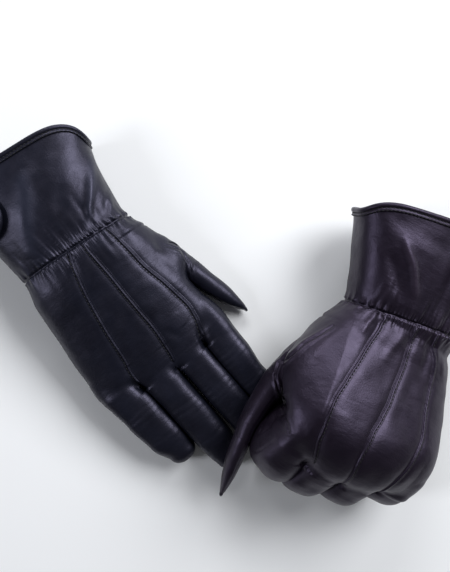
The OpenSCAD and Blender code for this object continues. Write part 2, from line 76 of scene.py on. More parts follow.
PLEATS = 58                        # puckers once around the gather
JOIN = 11.0                        # distance from the gather where cuff tube and hand meet
FLOOR = 0.1                        # lowest height of a thread, binding or tab
MM = 0.001

# ---------------------------------------------------------------- measurements of the two gloves
# x runs from the thumb to the little finger, s from the gather to the fingertips, and q is the
# share of the half width at s. width, centre, height: (s, value). knuckle: (x, s), fold: (x, degrees).
# webs: (q, s). fingers: name, x, s of the web, sideways drift, the bends in degrees, the three
# lengths, and the half widths and half heights of the root, the two joints and the tip.
# gusset and thumb: x, y and z seen level, half width, half height. cuff: length at the sides, how
# much longer the middle of the back is, and the slant. gather: shift of the gather at q = 0, and its slope.
# cheeks: centre and radii of bulges. seams and folds: a line, its height and its width.
# tucks: the three raised points as (s, q). place: the origin in the shared frame. box: the hand's
# form, in its own frame.
RIGHT = dict(
    name="right", hand=1, slot="leather_black", seed=3, box=((-66, 0, -34), (64, 134, 32)),
    place=(-101.64, 48.77, 26.28), heading=-49.1, pitch=-6.6, roll=0.0, bend=-6.6, droop=0.0,
    width=[(-80, 54.5), (-62, 53.5), (-45, 48.5), (-28, 45.5), (-12, 43.5), (0, 42), (8, 43.5), (16, 45.6),
           (28, 47), (49, 48.7), (70, 50.2), (91, 52), (105, 52.5)],
    centre=[(-80, -9), (-62, -6.5), (-28, -0.5), (0, 2), (16, 3.5), (28, 4), (49, 5.7), (70, 7.2),
            (91, 7.7), (105, 7)],
    height=[(-80, 24.6), (-58, 25.2), (-45, 26.6), (-15, 25), (-5, 23.4), (0, 22.8), (5, 23.4), (15, 24),
            (40, 21.5), (60, 19.5), (86, 16.5), (104, 13)],
    knuckle=[(-34, 86), (-10, 92), (16, 89), (44, 79)], fold=[(-34, -3), (44, -3)], knuckle_radius=17,
    webs=[(-0.558, 104), (-0.08, 110), (0.434, 108), (1, 98)],
    fingers=[("index", -34.2, 104, 4, (2, 1), (24, 23, 18), (11.7, 11.3, 10.8, 9), (11.9, 11, 10, 8)),
             ("middle", -9.75, 110, 0, (2, 2), (31, 28, 20), (11.9, 11.8, 11.5, 9.9), (12.2, 11.5, 10.7, 8.8)),
             ("ring", 16.3, 108, 0.8, (2, 2), (29, 26, 18), (12.7, 12.5, 12.2, 10.5), (12.6, 11.5, 10.7, 8.8)),
             ("little", 44.9, 98, -4.6, (3, 2), (22, 21, 16), (14.2, 13.6, 12.9, 10.5), (12.6, 11.3, 10.3, 8.4))],
    gusset=[(-30, 20, -4, 12, 14), (-35, 30, -8, 11, 13), (-41, 40, -11, 9, 11)],
    thumb=[(-44.5, 47.4, -12, 8.2, 10), (-46.5, 57, -12.6, 8, 10), (-49, 68, -13.4, 7.7, 9.6),
           (-51.3, 79, -14.5, 7.6, 8.8), (-54, 90, -16, 6.4, 7.8), (-56, 99, -17.6, 5, 6.6),
           (-58, 106, -19, 3.2, 5), (-59.5, 111, -20.3, 1.2, 2.6)],
    thumb_seam=38, thumb_fillet=4.0, cheeks=[((-42.5, 50, -6), (10, 13.5, 11))], cheek_stall=False,
    cuff=(56, 16, 8), gather=(-3.0, 5.1),
    seams=[([(-46, 40), (-52, 50), (-51, 60), (-46, 70)], 0.5, 1.2)],
    tucks=[[(5, -0.63), (13, -0.641), (37, -0.654), (62, -0.738), (79, -0.765), (92, -0.72), (102, -0.63),
            (108, -0.565)],
           [(3, -0.2), (38, -0.203), (72, -0.219), (96, -0.162), (108, -0.09)],
           [(2, 0.06), (7, 0.083), (31, 0.234), (58, 0.311), (80, 0.356), (96, 0.42), (103, 0.434)]],
    folds=[([(-50, -48), (-34, -26), (-15, -4)], 1.9, 2.4), ([(-52, -38), (-42, -18), (-30, -4)], -1.5, 3.2),
           ([(-46, -24), (-36, -10), (-31, -4)], 1.6, 1.8), ([(-9, -62), (4, -42), (18, -24), (27, -8)], 2.2, 6.5),
           ([(22, -60), (30, -40), (33, -20)], -1.0, 7), ([(-22, -40), (-6, -20), (-2, -3)], -0.7, 5),
           ([(-8, 78), (-14, 92)], -0.5, 3.4), ([(-33, 60), (-24, 76)], -0.5, 4.5),
           ([(-38, 12), (-40, 34), (-42, 60)], 0.6, 3.2)])
LEFT = dict(
    name="left", hand=-1, slot="leather_purple", seed=8, box=((-80, 0, -62), (66, 134, 34)),
    place=(119.36, -8.73, 30.44), heading=-110.5, pitch=27, roll=20.0, bend=26, droop=0.35,
    width=[(-80, 54), (-62, 52), (-45, 48), (-28, 45.5), (-12, 43.5), (0, 42), (10, 46.7), (24, 52.5),
           (38, 57), (52, 60), (64, 60.2), (76, 59), (88, 57), (100, 55.3), (110, 54.8)],
    centre=[(-80, -27), (-40, -13), (0, -1), (10, -0.8), (24, -2.5), (38, -4), (52, -5), (64, -3.8),
            (76, -1.5), (88, 1), (100, 2.7), (110, 3.2)],
    height=[(-80, 24), (-60, 25), (-48, 26.6), (-15, 25.4), (-5, 23.4), (0, 22.8), (5, 23.4), (15, 24),
            (40, 21), (70, 18.5), (86, 17), (110, 13.4)],
    knuckle=[(-38, 90), (-12, 95), (15, 92), (43, 84)], fold=[(-38, 66), (43, 69)], knuckle_radius=19,
    webs=[(-0.518, 108), (-0.031, 113), (0.471, 110.5), (1, 102)],
    fingers=[("index", -38.5, 108, -0.5, (92, 48), (25.5, 27, 17), (12.3, 12.2, 11.5, 9), (13, 12.4, 11, 8.6)),
             ("middle", -12, 113, 0, (95, 48), (28, 29, 18), (12.7, 12.6, 11.9, 9.2), (13, 12.6, 11, 8.6)),
             ("ring", 15, 110.5, 0, (97, 48), (25, 27, 17), (12.8, 12.6, 11.9, 9.2), (13, 12.4, 11, 8.6)),
             ("little", 43.5, 102, 0.6, (97, 48), (17.5, 23.5, 15), (14.1, 13.4, 12, 9), (13, 12, 10.4, 8.4))],
    gusset=[(-32, 10, 6, 13, 13), (-43, 24, 8, 12, 12), (-52, 36.5, 9, 11.2, 11.2)],
    thumb=[(-57, 44, 9.5, 10.5, 11), (-62, 54, 9.8, 10.3, 11.2), (-66.8, 66, 10, 9.3, 11.2),
           (-70.9, 82, 10, 8.0, 11), (-73.6, 100, 8.5, 6.9, 10.6), (-73.6, 118, 5, 6.2, 9.6),
           (-73.2, 132, 1.5, 5, 8), (-73, 142, -1.5, 3, 5.4), (-72.9, 149, -3.4, 1, 2.2)],
    thumb_seam=62, thumb_fillet=3.0, cheeks=[((-46, 97, 14), (20.5, 27, 28))], cheek_stall=True,
    cuff=(65.5, 8, 12), gather=(6.7, 7.6),
    seams=[([(-46, 14), (-60, 32), (-69, 50), (-69, 58), (-61, 70.5), (-51, 86)], 1.0, 1.3)],
    tucks=[[(-2, -0.53), (2, -0.522), (29, -0.429), (46, -0.433), (61, -0.498), (76, -0.609), (84, -0.65),
            (91, -0.65), (103, -0.55), (109, -0.518)],
           [(-6, 0.0), (-4, 0.011), (18, 0.053), (37, 0.102), (56, 0.081), (74, -0.011), (84, -0.09), (92, -0.12),
            (104, -0.05), (111, -0.031)],
           [(-9, 0.41), (-5, 0.426), (11, 0.512), (30, 0.555), (44, 0.568), (69, 0.6), (81, 0.557), (96, 0.48),
            (104, 0.471)]],
    folds=[([(-40, -46), (-27, -34), (-12, -14)], 2.2, 2.6), ([(-46, -38), (-34, -26), (-18, -8)], -1.7, 4.0),
           ([(24, -54), (26, -30), (22, -10)], 2.0, 6.0), ([(0, -50), (4, -28), (6, -8)], -0.9, 4.0),
           ([(-29, 4), (-33, 16), (-35, 30)], 1.1, 2.0), ([(-24, 5), (-26, 18), (-28, 34)], -0.9, 3.2),
           ([(-6, 6), (-9, 22), (-14, 44)], 0.8, 3.4), ([(1, 8), (0, 26)], -0.8, 3.6),
           ([(22, 10), (26, 30), (27, 48)], 0.9, 3.6), ([(15, 8), (17, 26), (17, 44)], -0.9, 3.4),
           ([(30, 16), (36, 34)], 0.6, 3.0), ([(-44, 26), (-52, 40), (-56, 56)], 0.8, 3.6)])
for glove in (RIGHT, LEFT):
    heading = math.radians(glove["heading"] - 90)
    pitch, roll = math.radians(glove["pitch"]), math.radians(glove["roll"]) * glove["hand"]
    turn = np.array([[math.cos(heading), -math.sin(heading), 0],
                     [math.sin(heading), math.cos(heading), 0], [0, 0, 1]])
    tip = np.array([[1, 0, 0], [0, math.cos(pitch), -math.sin(pitch)], [0, math.sin(pitch), math.cos(pitch)]])
    lean = np.array([[math.cos(roll), 0, math.sin(roll)], [0, 1, 0], [-math.sin(roll), 0, math.cos(roll)]])
    mirror = np.diag([float(glove["hand"]), 1, 1])
    glove["level"] = turn @ mirror
    glove["posed"] = turn @ tip @ lean @ mirror
    glove["to_level"] = glove["level"].T @ glove["posed"]


# ---------------------------------------------------------------- small helpers
def smooth(rows, x):
    """A smooth curve through the rows that never overshoots them."""
    t = np.array(rows, float)
    px, py = t[:, 0], t[:, 1]
    step = np.diff(px)
    d = np.diff(py) / step
    same = d[1:] * d[:-1] > 0
    inner = np.where(same, 2 * d[1:] * d[:-1] / np.where(same, d[1:] + d[:-1], 1), 0)
    m = np.concatenate([[d[0]], inner, [d[-1]]])
    x = np.clip(x, px[0], px[-1])
    i = np.clip(np.searchsorted(px, x, side="right") - 1, 0, len(px) - 2)
    u = (x - px[i]) / step[i]
    return ((1 + 2 * u) * (1 - u) ** 2 * py[i] + u * (1 - u) ** 2 * step[i] * m[i]
            + u * u * (3 - 2 * u) * py[i + 1] + u * u * (u - 1) * step[i] * m[i + 1])


def ease(a, b, x):
    """Rises smoothly from 0 at a to 1 at b; a may be the larger one."""
    t = np.clip((x - a) / (b - a), 0, 1)
    return t * t * (3 - 2 * t)


def join(a, b, k):
    """The smaller of two distances, rounded over k millimetres."""
    h = np.clip(0.5 + 0.5 * (b - a) / k, 0, 1)
    return b * (1 - h) + a * h - k * h * (1 - h)


def bell(x, width):
    """1 at x = 0, falling to nothing on both sides."""
    return np.exp(-(x / width) ** 2)


LATTICES = {}
NOISE_CELLS = 32


def noise(p, size, seed):
    """Smooth noise between -1 and 1 with features of about that size."""
    if seed not in LATTICES:
        LATTICES[seed] = np.random.RandomState(seed).uniform(-1, 1, (NOISE_CELLS,) * 3)
    values = LATTICES[seed]
    q = np.asarray(p) / size + 100.37
    i = np.floor(q).astype(int)
    f = q - i
    f = f * f * (3 - 2 * f)
    out = 0
    for a in (0, 1):
        for b in (0, 1):
            for c in (0, 1):
                weight = (np.where(a, f[..., 0], 1 - f[..., 0]) * np.where(b, f[..., 1], 1 - f[..., 1])
                          * np.where(c, f[..., 2], 1 - f[..., 2]))
                j = (i + (a, b, c)) % NOISE_CELLS
                out = out + weight * values[j[..., 0], j[..., 1], j[..., 2]]
    return out


def unit(v):
    return v / np.maximum(np.linalg.norm(v, axis=-1, keepdims=True), 1e-9)


def to_world(g, p):
    """Points of the hand's own frame in the shared frame, in millimetres."""
    return np.asarray(p) @ g["posed"].T + np.array(g["place"])


# ---------------------------------------------------------------- the bent middle line of a form
def go(p, d):
    """The pose (y, z, angle) a distance d straight ahead of the pose p."""
    return p[0] + d * np.cos(p[2]), p[1] - d * np.sin(p[2]), p[2] + 0 * d


def arc(p, r, t):
    """The pose after turning by t on a circle of radius r."""
    k = np.where(t < 0, -1.0, 1.0)
    return (p[0] + k * r * (np.sin(p[2] + t) - np.sin(p[2])),
            p[1] + k * r * (np.cos(p[2] + t) - np.cos(p[2])), p[2] + t)


def line_near(p, y, z, low, high):
    """Squared distance, distance along and height of points beside a straight stretch."""
    dy, dz, s, c = y - p[0], z - p[1], np.sin(p[2]), np.cos(p[2])
    along, n = dy * c - dz * s, dy * s + dz * c
    kept = np.clip(along, low, high)
    return (along - kept) ** 2 + n ** 2, kept, n


def arc_near(p, y, z, r, t):
    """The same beside an arc of radius r that turns by t."""
    k = np.where(t < 0, -1.0, 1.0)
    cy, cz = p[0] - k * r * np.sin(p[2]), p[1] - k * r * np.cos(p[2])
    dy, dz = y - cy, z - cz
    a = np.arctan2(k * dy, k * dz) - p[2] - t / 2
    a = (a + math.pi) % (2 * math.pi) - math.pi + t / 2
    kept = np.clip(a * k, 0, np.abs(t)) * k
    ey, ez = cy + k * r * np.sin(p[2] + kept), cz + k * r * np.cos(p[2] + kept)
    return (y - ey) ** 2 + (z - ez) ** 2, r * np.abs(kept), k * (np.hypot(dy, dz) - r)


def nearest(found):
    """Distance along and height at the nearest of several stretches."""
    best, s, n = found[0]
    for d, t, m in found[1:]:
        closer = d < best
        best, s, n = np.where(closer, d, best), np.where(closer, t, s), np.where(closer, m, n)
    return s, n


def hand_line(g, x):
    """The stretches of the hand's middle line at x: wrist arc, back, knuckle arc."""
    a = math.radians(g["bend"])
    r0 = WRIST_BEND / abs(a)
    p0 = (0.0, 0.0, a)
    p1 = arc(p0, r0, -a)
    f, r = np.radians(smooth(g["fold"], x)), g["knuckle_radius"]
    k = smooth(g["knuckle"], x) - r * np.tan(np.abs(f) / 2)
    return a, r0, p0, p1, f, r, k, r * np.abs(f), go(p1, k - WRIST_BEND)


def middle(g, x, s):
    """The pose of the hand's middle line at x and s."""
    a, r0, p0, p1, f, r, k, l, p2 = hand_line(g, x)
    s = s + 0 * x
    bent = WRIST_BEND
    parts = [go(p0, s), arc(p0, r0, -a * np.clip(s, 0, bent) / bent), go(p1, s - bent),
             arc(p2, r, f * np.clip((s - k) / l, 0, 1)), go(arc(p2, r, f), s - k - l)]
    which = np.select([s <= 0, s < bent, s < k, s < k + l], [0, 1, 2, 3], 4)
    return tuple(np.choose(which, [part[i] + 0 * s for part in parts]) for i in range(3))


def hang(g, x, s):
    """How far the thumb side of the hand hangs below its middle line."""
    return g["droop"] * np.maximum(0, DROOP_FROM - x) * ease(-6, 6, s)


def hand_place(g, p):
    """x, distance along, height, share across, half width and half height of points by the hand."""
    x, y, z = p[..., 0], p[..., 1], p[..., 2]
    a, r0, p0, p1, f, r, k, l, p2 = hand_line(g, x)
    found = [(d, s + start, n) for start, (d, s, n) in (
        (0, line_near(p0, y, z, -1e3, 0)),
        (0, arc_near(p0, y, z, r0, -a)),
        (WRIST_BEND, line_near(p1, y, z, 0, k - WRIST_BEND)),
        (k, arc_near(p2, y, z, r, f)),
        (k + l, line_near(arc(p2, r, f), y, z, 0, 1e3)))]
    s, n = nearest(found)
    n = n + hang(g, x, s)
    w, c, h = smooth(g["width"], s), smooth(g["centre"], s), smooth(g["height"], s)
    return x, s, n, (x - c) / w, w, h


def shell_distance(parts, e):
    """First-order distance to a rounded box form; parts are (offset, half size) pairs."""
    u = [np.abs(a) / b for a, b in parts]
    r = np.maximum(sum(v ** e for v in u) ** (1 / e), 1e-3)
    slope = r ** (1 - e) * np.sqrt(sum((v ** (e - 1) / b) ** 2 for v, (a, b) in zip(u, parts)))
    return (r - 1) / np.maximum(slope, 1e-3)


def web_at(g, x):
    """Distance of the webs at x, eased from one finger to the next."""
    w = g["webs"]
    c, h = smooth(g["centre"], 100.0), smooth(g["width"], 100.0)
    out = w[0][1] + 0 * x
    for (q, _), (_, v), (_, u) in zip(w[:-1], w[1:], w[:-1]):
        out = out + (v - u) * ease(-3, 3, x - (c + h * q))
    return out


def cheek_form(g, p):
    """Leather that bulges over the root of the thumb, pressed flat where it meets the thumb."""
    level = p @ g["to_level"].T
    out = np.full(p.shape[:-1], 40.0)
    for centre, radii in g["cheeks"]:
        off = (level - np.array(centre)) / np.array(radii)
        r = np.maximum(np.linalg.norm(off, axis=-1), 1e-3)
        slope = np.maximum(np.linalg.norm(off / np.array(radii), axis=-1), 1e-3)
        out = np.minimum(out, (r - 1) * r / slope)
    near = out < 6
    if near.any():
        thumb, _ = g["thumb_form"].form(level[near])
        out[near] = -join(-out[near], thumb - 0.6, 1.5)
    return out


def hand_form(g, p):
    """Distance to the hand without stalls and thumb."""
    x, s, n, q, w, h = place = hand_place(g, p)
    beyond = np.maximum(0, s - web_at(g, x) + 9)
    d = shell_distance([(q * w, w), (n, h), (beyond, 14.0)], HAND_POWER)
    return join(d, cheek_form(g, p), CHEEK_ROUND), place


class Stall:
    """One finger stall: its middle line, widths and heights."""

    def __init__(self, g, row):
        self.name, self.x, self.web, self.drift, bends, lengths, half_widths, half_heights = row
        self.bulges = self.name == "index" and g["cheek_stall"]
        y, z, a = middle(g, np.array(float(self.x)), np.array(self.web + SEAM_GAP))
        self.p0 = (float(y), float(z), float(a))
        self.b1, self.b2 = (math.radians(b) for b in bends)
        self.r1, self.r2 = half_heights[1] + 0.8, half_heights[2] + 0.8
        t1, t2 = self.r1 * math.tan(self.b1 / 2), self.r2 * math.tan(self.b2 / 2)
        self.l1, self.l2, self.l3 = lengths[0] - t1, lengths[1] - t1 - t2, lengths[2] - t2
        self.p1 = go(self.p0, self.l1)
        self.p2 = arc(self.p1, self.r1, self.b1)
        self.p3 = go(self.p2, self.l2)
        self.p4 = arc(self.p3, self.r2, self.b2)
        steps = [0, self.l1, self.r1 * self.b1, self.l2, self.r2 * self.b2, self.l3]
        m = self.marks = [float(v) for v in np.cumsum(steps)]
        rows = [-20, m[0], m[1], m[2] + 0.01, m[3], m[4] + 0.01, m[5]]
        which = [0, 0, 1, 1, 2, 2, 3]
        self.width = list(zip(rows, np.array(half_widths, float)[which]))
        self.height = list(zip(rows, np.array(half_heights, float)[which]))
        self.middle = list(zip(rows[1:], (0, 1 / 3, 1 / 3, 2 / 3, 2 / 3, 1)))
        self.tip = half_heights[3]
        self.end = m[5] + self.tip

    def place(self, p):
        """Distance along, offsets across and up, half width and half height of points by the stall."""
        x, y, z = p[..., 0], p[..., 1], p[..., 2]
        m = self.marks
        found = [line_near(self.p0, y, z, -1e3, self.l1)]
        for start, line in ((m[1], arc_near(self.p1, y, z, self.r1, self.b1)),
                            (m[2], line_near(self.p2, y, z, 0, self.l2)),
                            (m[3], arc_near(self.p3, y, z, self.r2, self.b2)),
                            (m[4], line_near(self.p4, y, z, 0, 1e3))):
            found.append((line[0], line[1] + start, line[2]))
        s, n = nearest(found)
        a = x - (self.x + self.drift * smooth(self.middle, s))
        return s, a, n, smooth(self.width, s), smooth(self.height, s)

    def form(self, p):
        """Distance to the stall alone, and the places of the points."""
        s, a, n, w, h = place = self.place(p)
        beyond = np.maximum(0, s - self.marks[5]) + np.maximum(0, -14 - s)
        power = 3.1 - 0.8 * ease(self.marks[3], self.marks[5], s)
        w = w + 0.35 * ease(self.end, self.marks[3], s)
        d = shell_distance([(a, w), (n, h), (beyond, self.tip)], power)
        return d + 0.22 * np.maximum(0, -1 - s), place

    def fork(self, reach):
        """Height share where the strip between the halves ends; it closes at the tip."""
        return FORK * (1 - ease(self.marks[5] - 6, self.end - 2, reach))

    def near(self, p):
        """Which points the stall can reach."""
        return (np.abs(p[..., 0] - self.x) < (24 if self.x > -38 else 36)) & (p[..., 1] > self.p0[0] - 45)


class Thumb:
    """The thumb stall and its gusset, described along the level frame's y."""

    def __init__(self, g):
        rows = np.array(g["gusset"] + g["thumb"], float)
        self.rows = rows
        cut = rows[len(g["gusset"])]
        d = rows[len(g["gusset"]) + 1, :3] - cut[:3]
        self.cut, self.axis = cut[:3] - 0.2 * d / np.linalg.norm(d), d / np.linalg.norm(d)

    def row(self, k, y):
        """Column k of the rows at y."""
        return smooth(np.stack([self.rows[:, 1], self.rows[:, k]], 1), y)

    def place(self, p):
        """Distance past the cut, sideways and height offsets and half sizes, for level points."""
        y = np.clip(p[..., 1], self.rows[0, 1], self.rows[-1, 1])
        slope = (self.row(0, y + 1.5) - self.row(0, y - 1.5)) / 3
        a = (p[..., 0] - self.row(0, y)) / np.sqrt(1 + slope ** 2)
        b = p[..., 2] - self.row(2, y)
        beyond = np.abs(p[..., 1] - y)
        past = (p - self.cut) @ self.axis
        return past, a, b, self.row(3, y), self.row(4, y), beyond

    def form(self, p):
        """Distance to the thumb alone, and the places of the points."""
        place = _, a, b, w, h, beyond = self.place(p)
        return shell_distance([(a, w), (b, h), (beyond, 2.2)], 2.05), place


def soften(s):
    """How far the hand's form falls back past a web: 0 before it, then rising smoothly."""
    return np.where(s < 0, 0, np.where(s < 5, s * s / 10, s - 2.5))


def bulging(g, stall, form, p):
    """A stall's form with the leather that bulges beside it."""
    return join(form, cheek_form(g, p), CHEEK_ROUND) if stall.bulges else form


def stall_parts(g, stall, hand, p, short=False):
    """Distance to the hand joined with one stall, or with only the root of it."""
    out = hand + 0
    near = stall.near(p)
    q = p[near]
    form, place = stall.form(q)
    form = bulging(g, stall, form, q)
    if short:
        form = form + 2.0 * np.maximum(0, place[0] - 2)
    rounding = 1.8 + 4.2 * ease(1.0, 0.3, np.abs(place[2] / place[4]))
    out[near] = join(hand[near] + soften(place[0]), form, rounding)
    return out


def hand_solid(g, p):
    """Distance to the hand with the roots of its stalls."""
    hand, _ = hand_form(g, p)
    out = hand
    for stall in g["stalls"]:
        out = np.minimum(out, stall_parts(g, stall, hand, p, short=True))
    return out


def thumb_fillet(g, past):
    """Rounding between thumb and hand."""
    return g["thumb_fillet"] + 4.0 * ease(0, -22, past)


def trunk(g, p):
    """The hand with the gusset; the thumb itself ends in a blunt cone just past the cut."""
    out = hand_solid(g, p)
    level = p @ g["to_level"].T
    form, place = g["thumb_form"].form(level)
    stub = form + 1.2 * np.maximum(0, place[0] - 1)
    return join(out, stub, thumb_fillet(g, place[0]))


def thumb_solid(g, p):
    """Distance to the thumb stall, flared where it meets the hand."""
    level = p @ g["to_level"].T
    form, place = g["thumb_form"].form(level)
    hand, _ = hand_form(g, p)
    return join(hand + 1.2 * soften(place[0]), form, thumb_fillet(g, place[0]))


def stall_solid(g, stall, p):
    """Distance to one stall, flared where it meets the hand."""
    hand, _ = hand_form(g, p)
    return stall_parts(g, stall, hand, p)


# ---------------------------------------------------------------- relief of the leather
def wrist_radius(a):
    """Distance from the middle of the wrist to its skin, in the direction a."""
    return (np.abs(np.cos(a) / WRIST_WIDTH) ** HAND_POWER
            + np.abs(np.sin(a) / WRIST_HEIGHT) ** HAND_POWER) ** (-1 / HAND_POWER)


angle = np.linspace(-math.pi, math.pi, 721)
ring_x, ring_z = wrist_radius(angle) * np.cos(angle), wrist_radius(angle) * np.sin(angle)
ring_length = np.concatenate([[0], np.cumsum(np.hypot(np.diff(ring_x), np.diff(ring_z)))])
ring_share = ring_length / ring_length[-1]


def around_share(x, z):
    """Share of the way around the wrist, even along its skin."""
    return np.interp(np.arctan2(z, x), angle, ring_share)


def along_line(points, x, s):
    """Distance to a line of (x, s) points, and the share of its length."""
    pts = np.array(points, float)
    total = np.hypot(*np.diff(pts, axis=0).T)
    done, best, share = 0.0, None, None
    for (ax, ay), (bx, by), length in zip(pts[:-1], pts[1:], total):
        t = np.clip(((x - ax) * (bx - ax) + (s - ay) * (by - ay)) / length ** 2, 0, 1)
        d = np.hypot(x - ax - t * (bx - ax), s - ay - t * (by - ay))
        v = (done + t * length) / total.sum()
        best, share = (d, v) if best is None else (np.minimum(best, d), np.where(d < best, v, share))
        done += length
    return best, share


def make_folds(g):
    """The folds that fan out from the gather, on both sides of it and both faces."""
    rng = np.random.RandomState(g["seed"])
    folds = []
    for face in (1, -1):
        for side, count in ((-1, 15), (1, 13)):
            for i in range(count):
                x = -38 + 76 * (i + rng.uniform(0.1, 0.9)) / count
                length = rng.uniform(9, 26) * (1.25 if side < 0 else 1)
                drift = x * 0.004 * length + rng.uniform(-1.5, 1.5)
                line = [(x, side * 1.5), (x + drift * 0.5, side * length * 0.55), (x + drift, side * length)]
                amp = rng.uniform(0.35, 0.95) * rng.choice([1, 1, -1])
                folds.append((line, amp, rng.uniform(1.3, 2.4), face))
    folds += [(points, amp, width, 1) for points, amp, width in g["folds"]]
    return folds


def gather_shift(g, q):
    """How far the gather runs ahead of the narrowest place of the wrist."""
    return g["gather"][0] + g["gather"][1] * np.clip(q, -1, 1)


def relief(g, p):
    """Height of the leather's relief over its smooth form."""
    x, s, n, q, w, h = hand_place(g, p)
    lift = n / h
    seed = g["seed"] * 10
    out = 0.42 * noise(p, 17, seed) + 0.2 * noise(p, 7.5, seed + 1)
    # puckers and the sunk seam of the gather
    s = s + gather_shift(g, q)
    near = np.abs(s) < 40
    if near.any():
        xs, ss, ps = x[near], s[near], p[near]
        rise = n[near] * WRIST_WIDTH / WRIST_HEIGHT * h[near] / w[near] * 0.55
        share = around_share(xs - smooth(g["centre"], ss), rise)
        phase = 2 * math.pi * PLEATS * share + 1.1 * noise(ps, 8, seed + 2)
        pleat = (0.5 + 0.5 * np.cos(phase)) ** 1.3
        fade = np.exp(-np.maximum(0, np.abs(ss) - 1.0) / 2.8) * (0.75 + 0.35 * noise(ps, 9, seed + 3))
        out[near] += 1.7 * (pleat - 0.45) * fade * ease(0.3, 1.5, np.abs(ss)) - 1.3 * bell(ss, 1.0)
    for points, amp, width, face in g["fold_list"]:
        low, high = min(b for _, b in points) - 3 * width, max(b for _, b in points) + 3 * width
        sel = (s > low) & (s < high) & (lift * face > -0.1)
        if not sel.any():
            continue
        d, share = along_line(points, x[sel], s[sel])
        gathered = abs(points[0][1]) < 3
        taper = (1 - share) ** 0.8 if gathered else np.sin(math.pi * np.clip(share, 0.02, 0.98)) ** 0.6
        out[sel] += amp * bell(d, width) * taper * ease(-0.1, 0.25, lift[sel] * face)
    # the tucks pull the back down along both sides
    s = s - gather_shift(g, q)
    for line in g["tucks"]:
        first, last = line[0][0], line[-1][0]
        sel = (s > first) & (s < last + 5) & (lift > 0)
        if sel.any():
            t = s[sel] / last
            off = x[sel] - (smooth(g["centre"], s[sel]) + smooth(g["width"], s[sel]) * smooth(line, s[sel]))
            pull = ease(first, first + 12, s[sel])
            out[sel] -= (0.75 * bell(off, 3.0) + 0.9 * ease(0.5, 1.0, t) * bell(off, 6.5)) * pull
    # creases of the stalls
    for i, stall in enumerate(g["stalls"]):
        sel = stall.near(p) & (np.searchsorted(g["borders"], x) == i) & (s > stall.web - 12)
        if not sel.any():
            continue
        ps = p[sel]
        t, a, b, sw, sh = stall.place(ps)
        up = b / sh
        wave = t + 1.2 * noise(ps, 9, seed + 5) + 0.6 * (a / sw) ** 2
        m = stall.marks
        add = 0 * t
        straight = stall.b1 < 0.3
        if straight:
            for at, depth in ((m[1] - 4.5, 0.14), (m[1], 0.2), (m[1] + 4.2, 0.13),
                              (m[3] - 1, 0.12), (m[3] + 3, 0.1)):
                add -= depth * bell(wave - at, 1.2) * ease(0.2, 0.75, up)
            add += 0.3 * bell(t - m[1], 8) * ease(0.1, 0.8, up)
        for at, depth in ((3.0, 0.5), ((m[1] + m[2]) / 2, 0.6), ((m[3] + m[4]) / 2, 0.5)):
            add -= depth * bell(wave - at, 1.3) * ease(-0.2, -0.75, up)
        fork = stall.fork(t)
        for edge in (up - fork, -up - fork):
            add -= 0.22 * bell(edge * sh, 0.8) * ease(0, 6, t)
        add += 0.16 * noise(ps, 14, seed + 6) * ease(0, 15, t)
        out[sel] += add
    return out


def level_ridges(g, p, normal):
    """Seams that are easiest to place seen from straight above: a double ridge with a groove."""
    level = p @ g["to_level"].T
    up = (normal @ g["to_level"].T)[..., 2]
    out = np.zeros(p.shape[:-1])
    for points, amp, width in g["seams"]:
        d, share = along_line(points, level[..., 0], level[..., 1])
        ends = np.sin(math.pi * np.clip(share, 0.03, 0.97)) ** 0.5
        ridge = bell(d - width, width * 0.7) - 0.8 * bell(d, width * 0.45)
        out += amp * ridge * ends * ease(0.05, 0.4, up)
    return out


def thumb_relief(g, p):
    """Extra relief of the thumb: its long seam and the folds at its root."""
    past, a, b, w, h, _ = g["thumb_form"].place(p @ g["to_level"].T)
    turned = np.arctan2(b / h, a / w)
    seam = math.radians(g["thumb_seam"])
    ease_in = ease(-8, 4, past)
    out = 0 * past
    for centre in (seam, seam + math.pi):
        off = (turned - centre + math.pi) % (2 * math.pi) - math.pi
        out += (0.35 * bell(off * w, 1.6) - 0.5 * bell(off * w, 0.6)) * ease_in
    wave = past + 3.0 * noise(p, 14, g["seed"] + 40)
    for at in (-7, 0.5, 9, 17):
        out -= 0.5 * bell(wave - at, 1.6) * ease(-0.4, 0.6, b / h)
    return out


def finish_surface(g, solid, p, thumb=False):
    """Moves points onto the form, then out by its relief. Returns places and smooth normals."""
    def slope(q):
        e = 0.15
        sides = np.eye(3) * e
        return np.stack([solid(q + side) - solid(q - side) for side in sides], -1) / (2 * e)
    for _ in range(2):
        v = slope(p)
        p = p - (solid(p) / np.maximum((v ** 2).sum(-1), 0.25))[..., None] * v
    n = unit(slope(p))
    height = relief(g, p) + level_ridges(g, p, n)
    if thumb:
        height = height + thumb_relief(g, p)
    else:
        form, (past, *_) = g["thumb_form"].form(p @ g["to_level"].T)
        height = height + np.where((form < 2.0) & (past < 6), thumb_relief(g, p), 0) * ease(10, 6, past)
    return p + height[..., None] * n, n, height


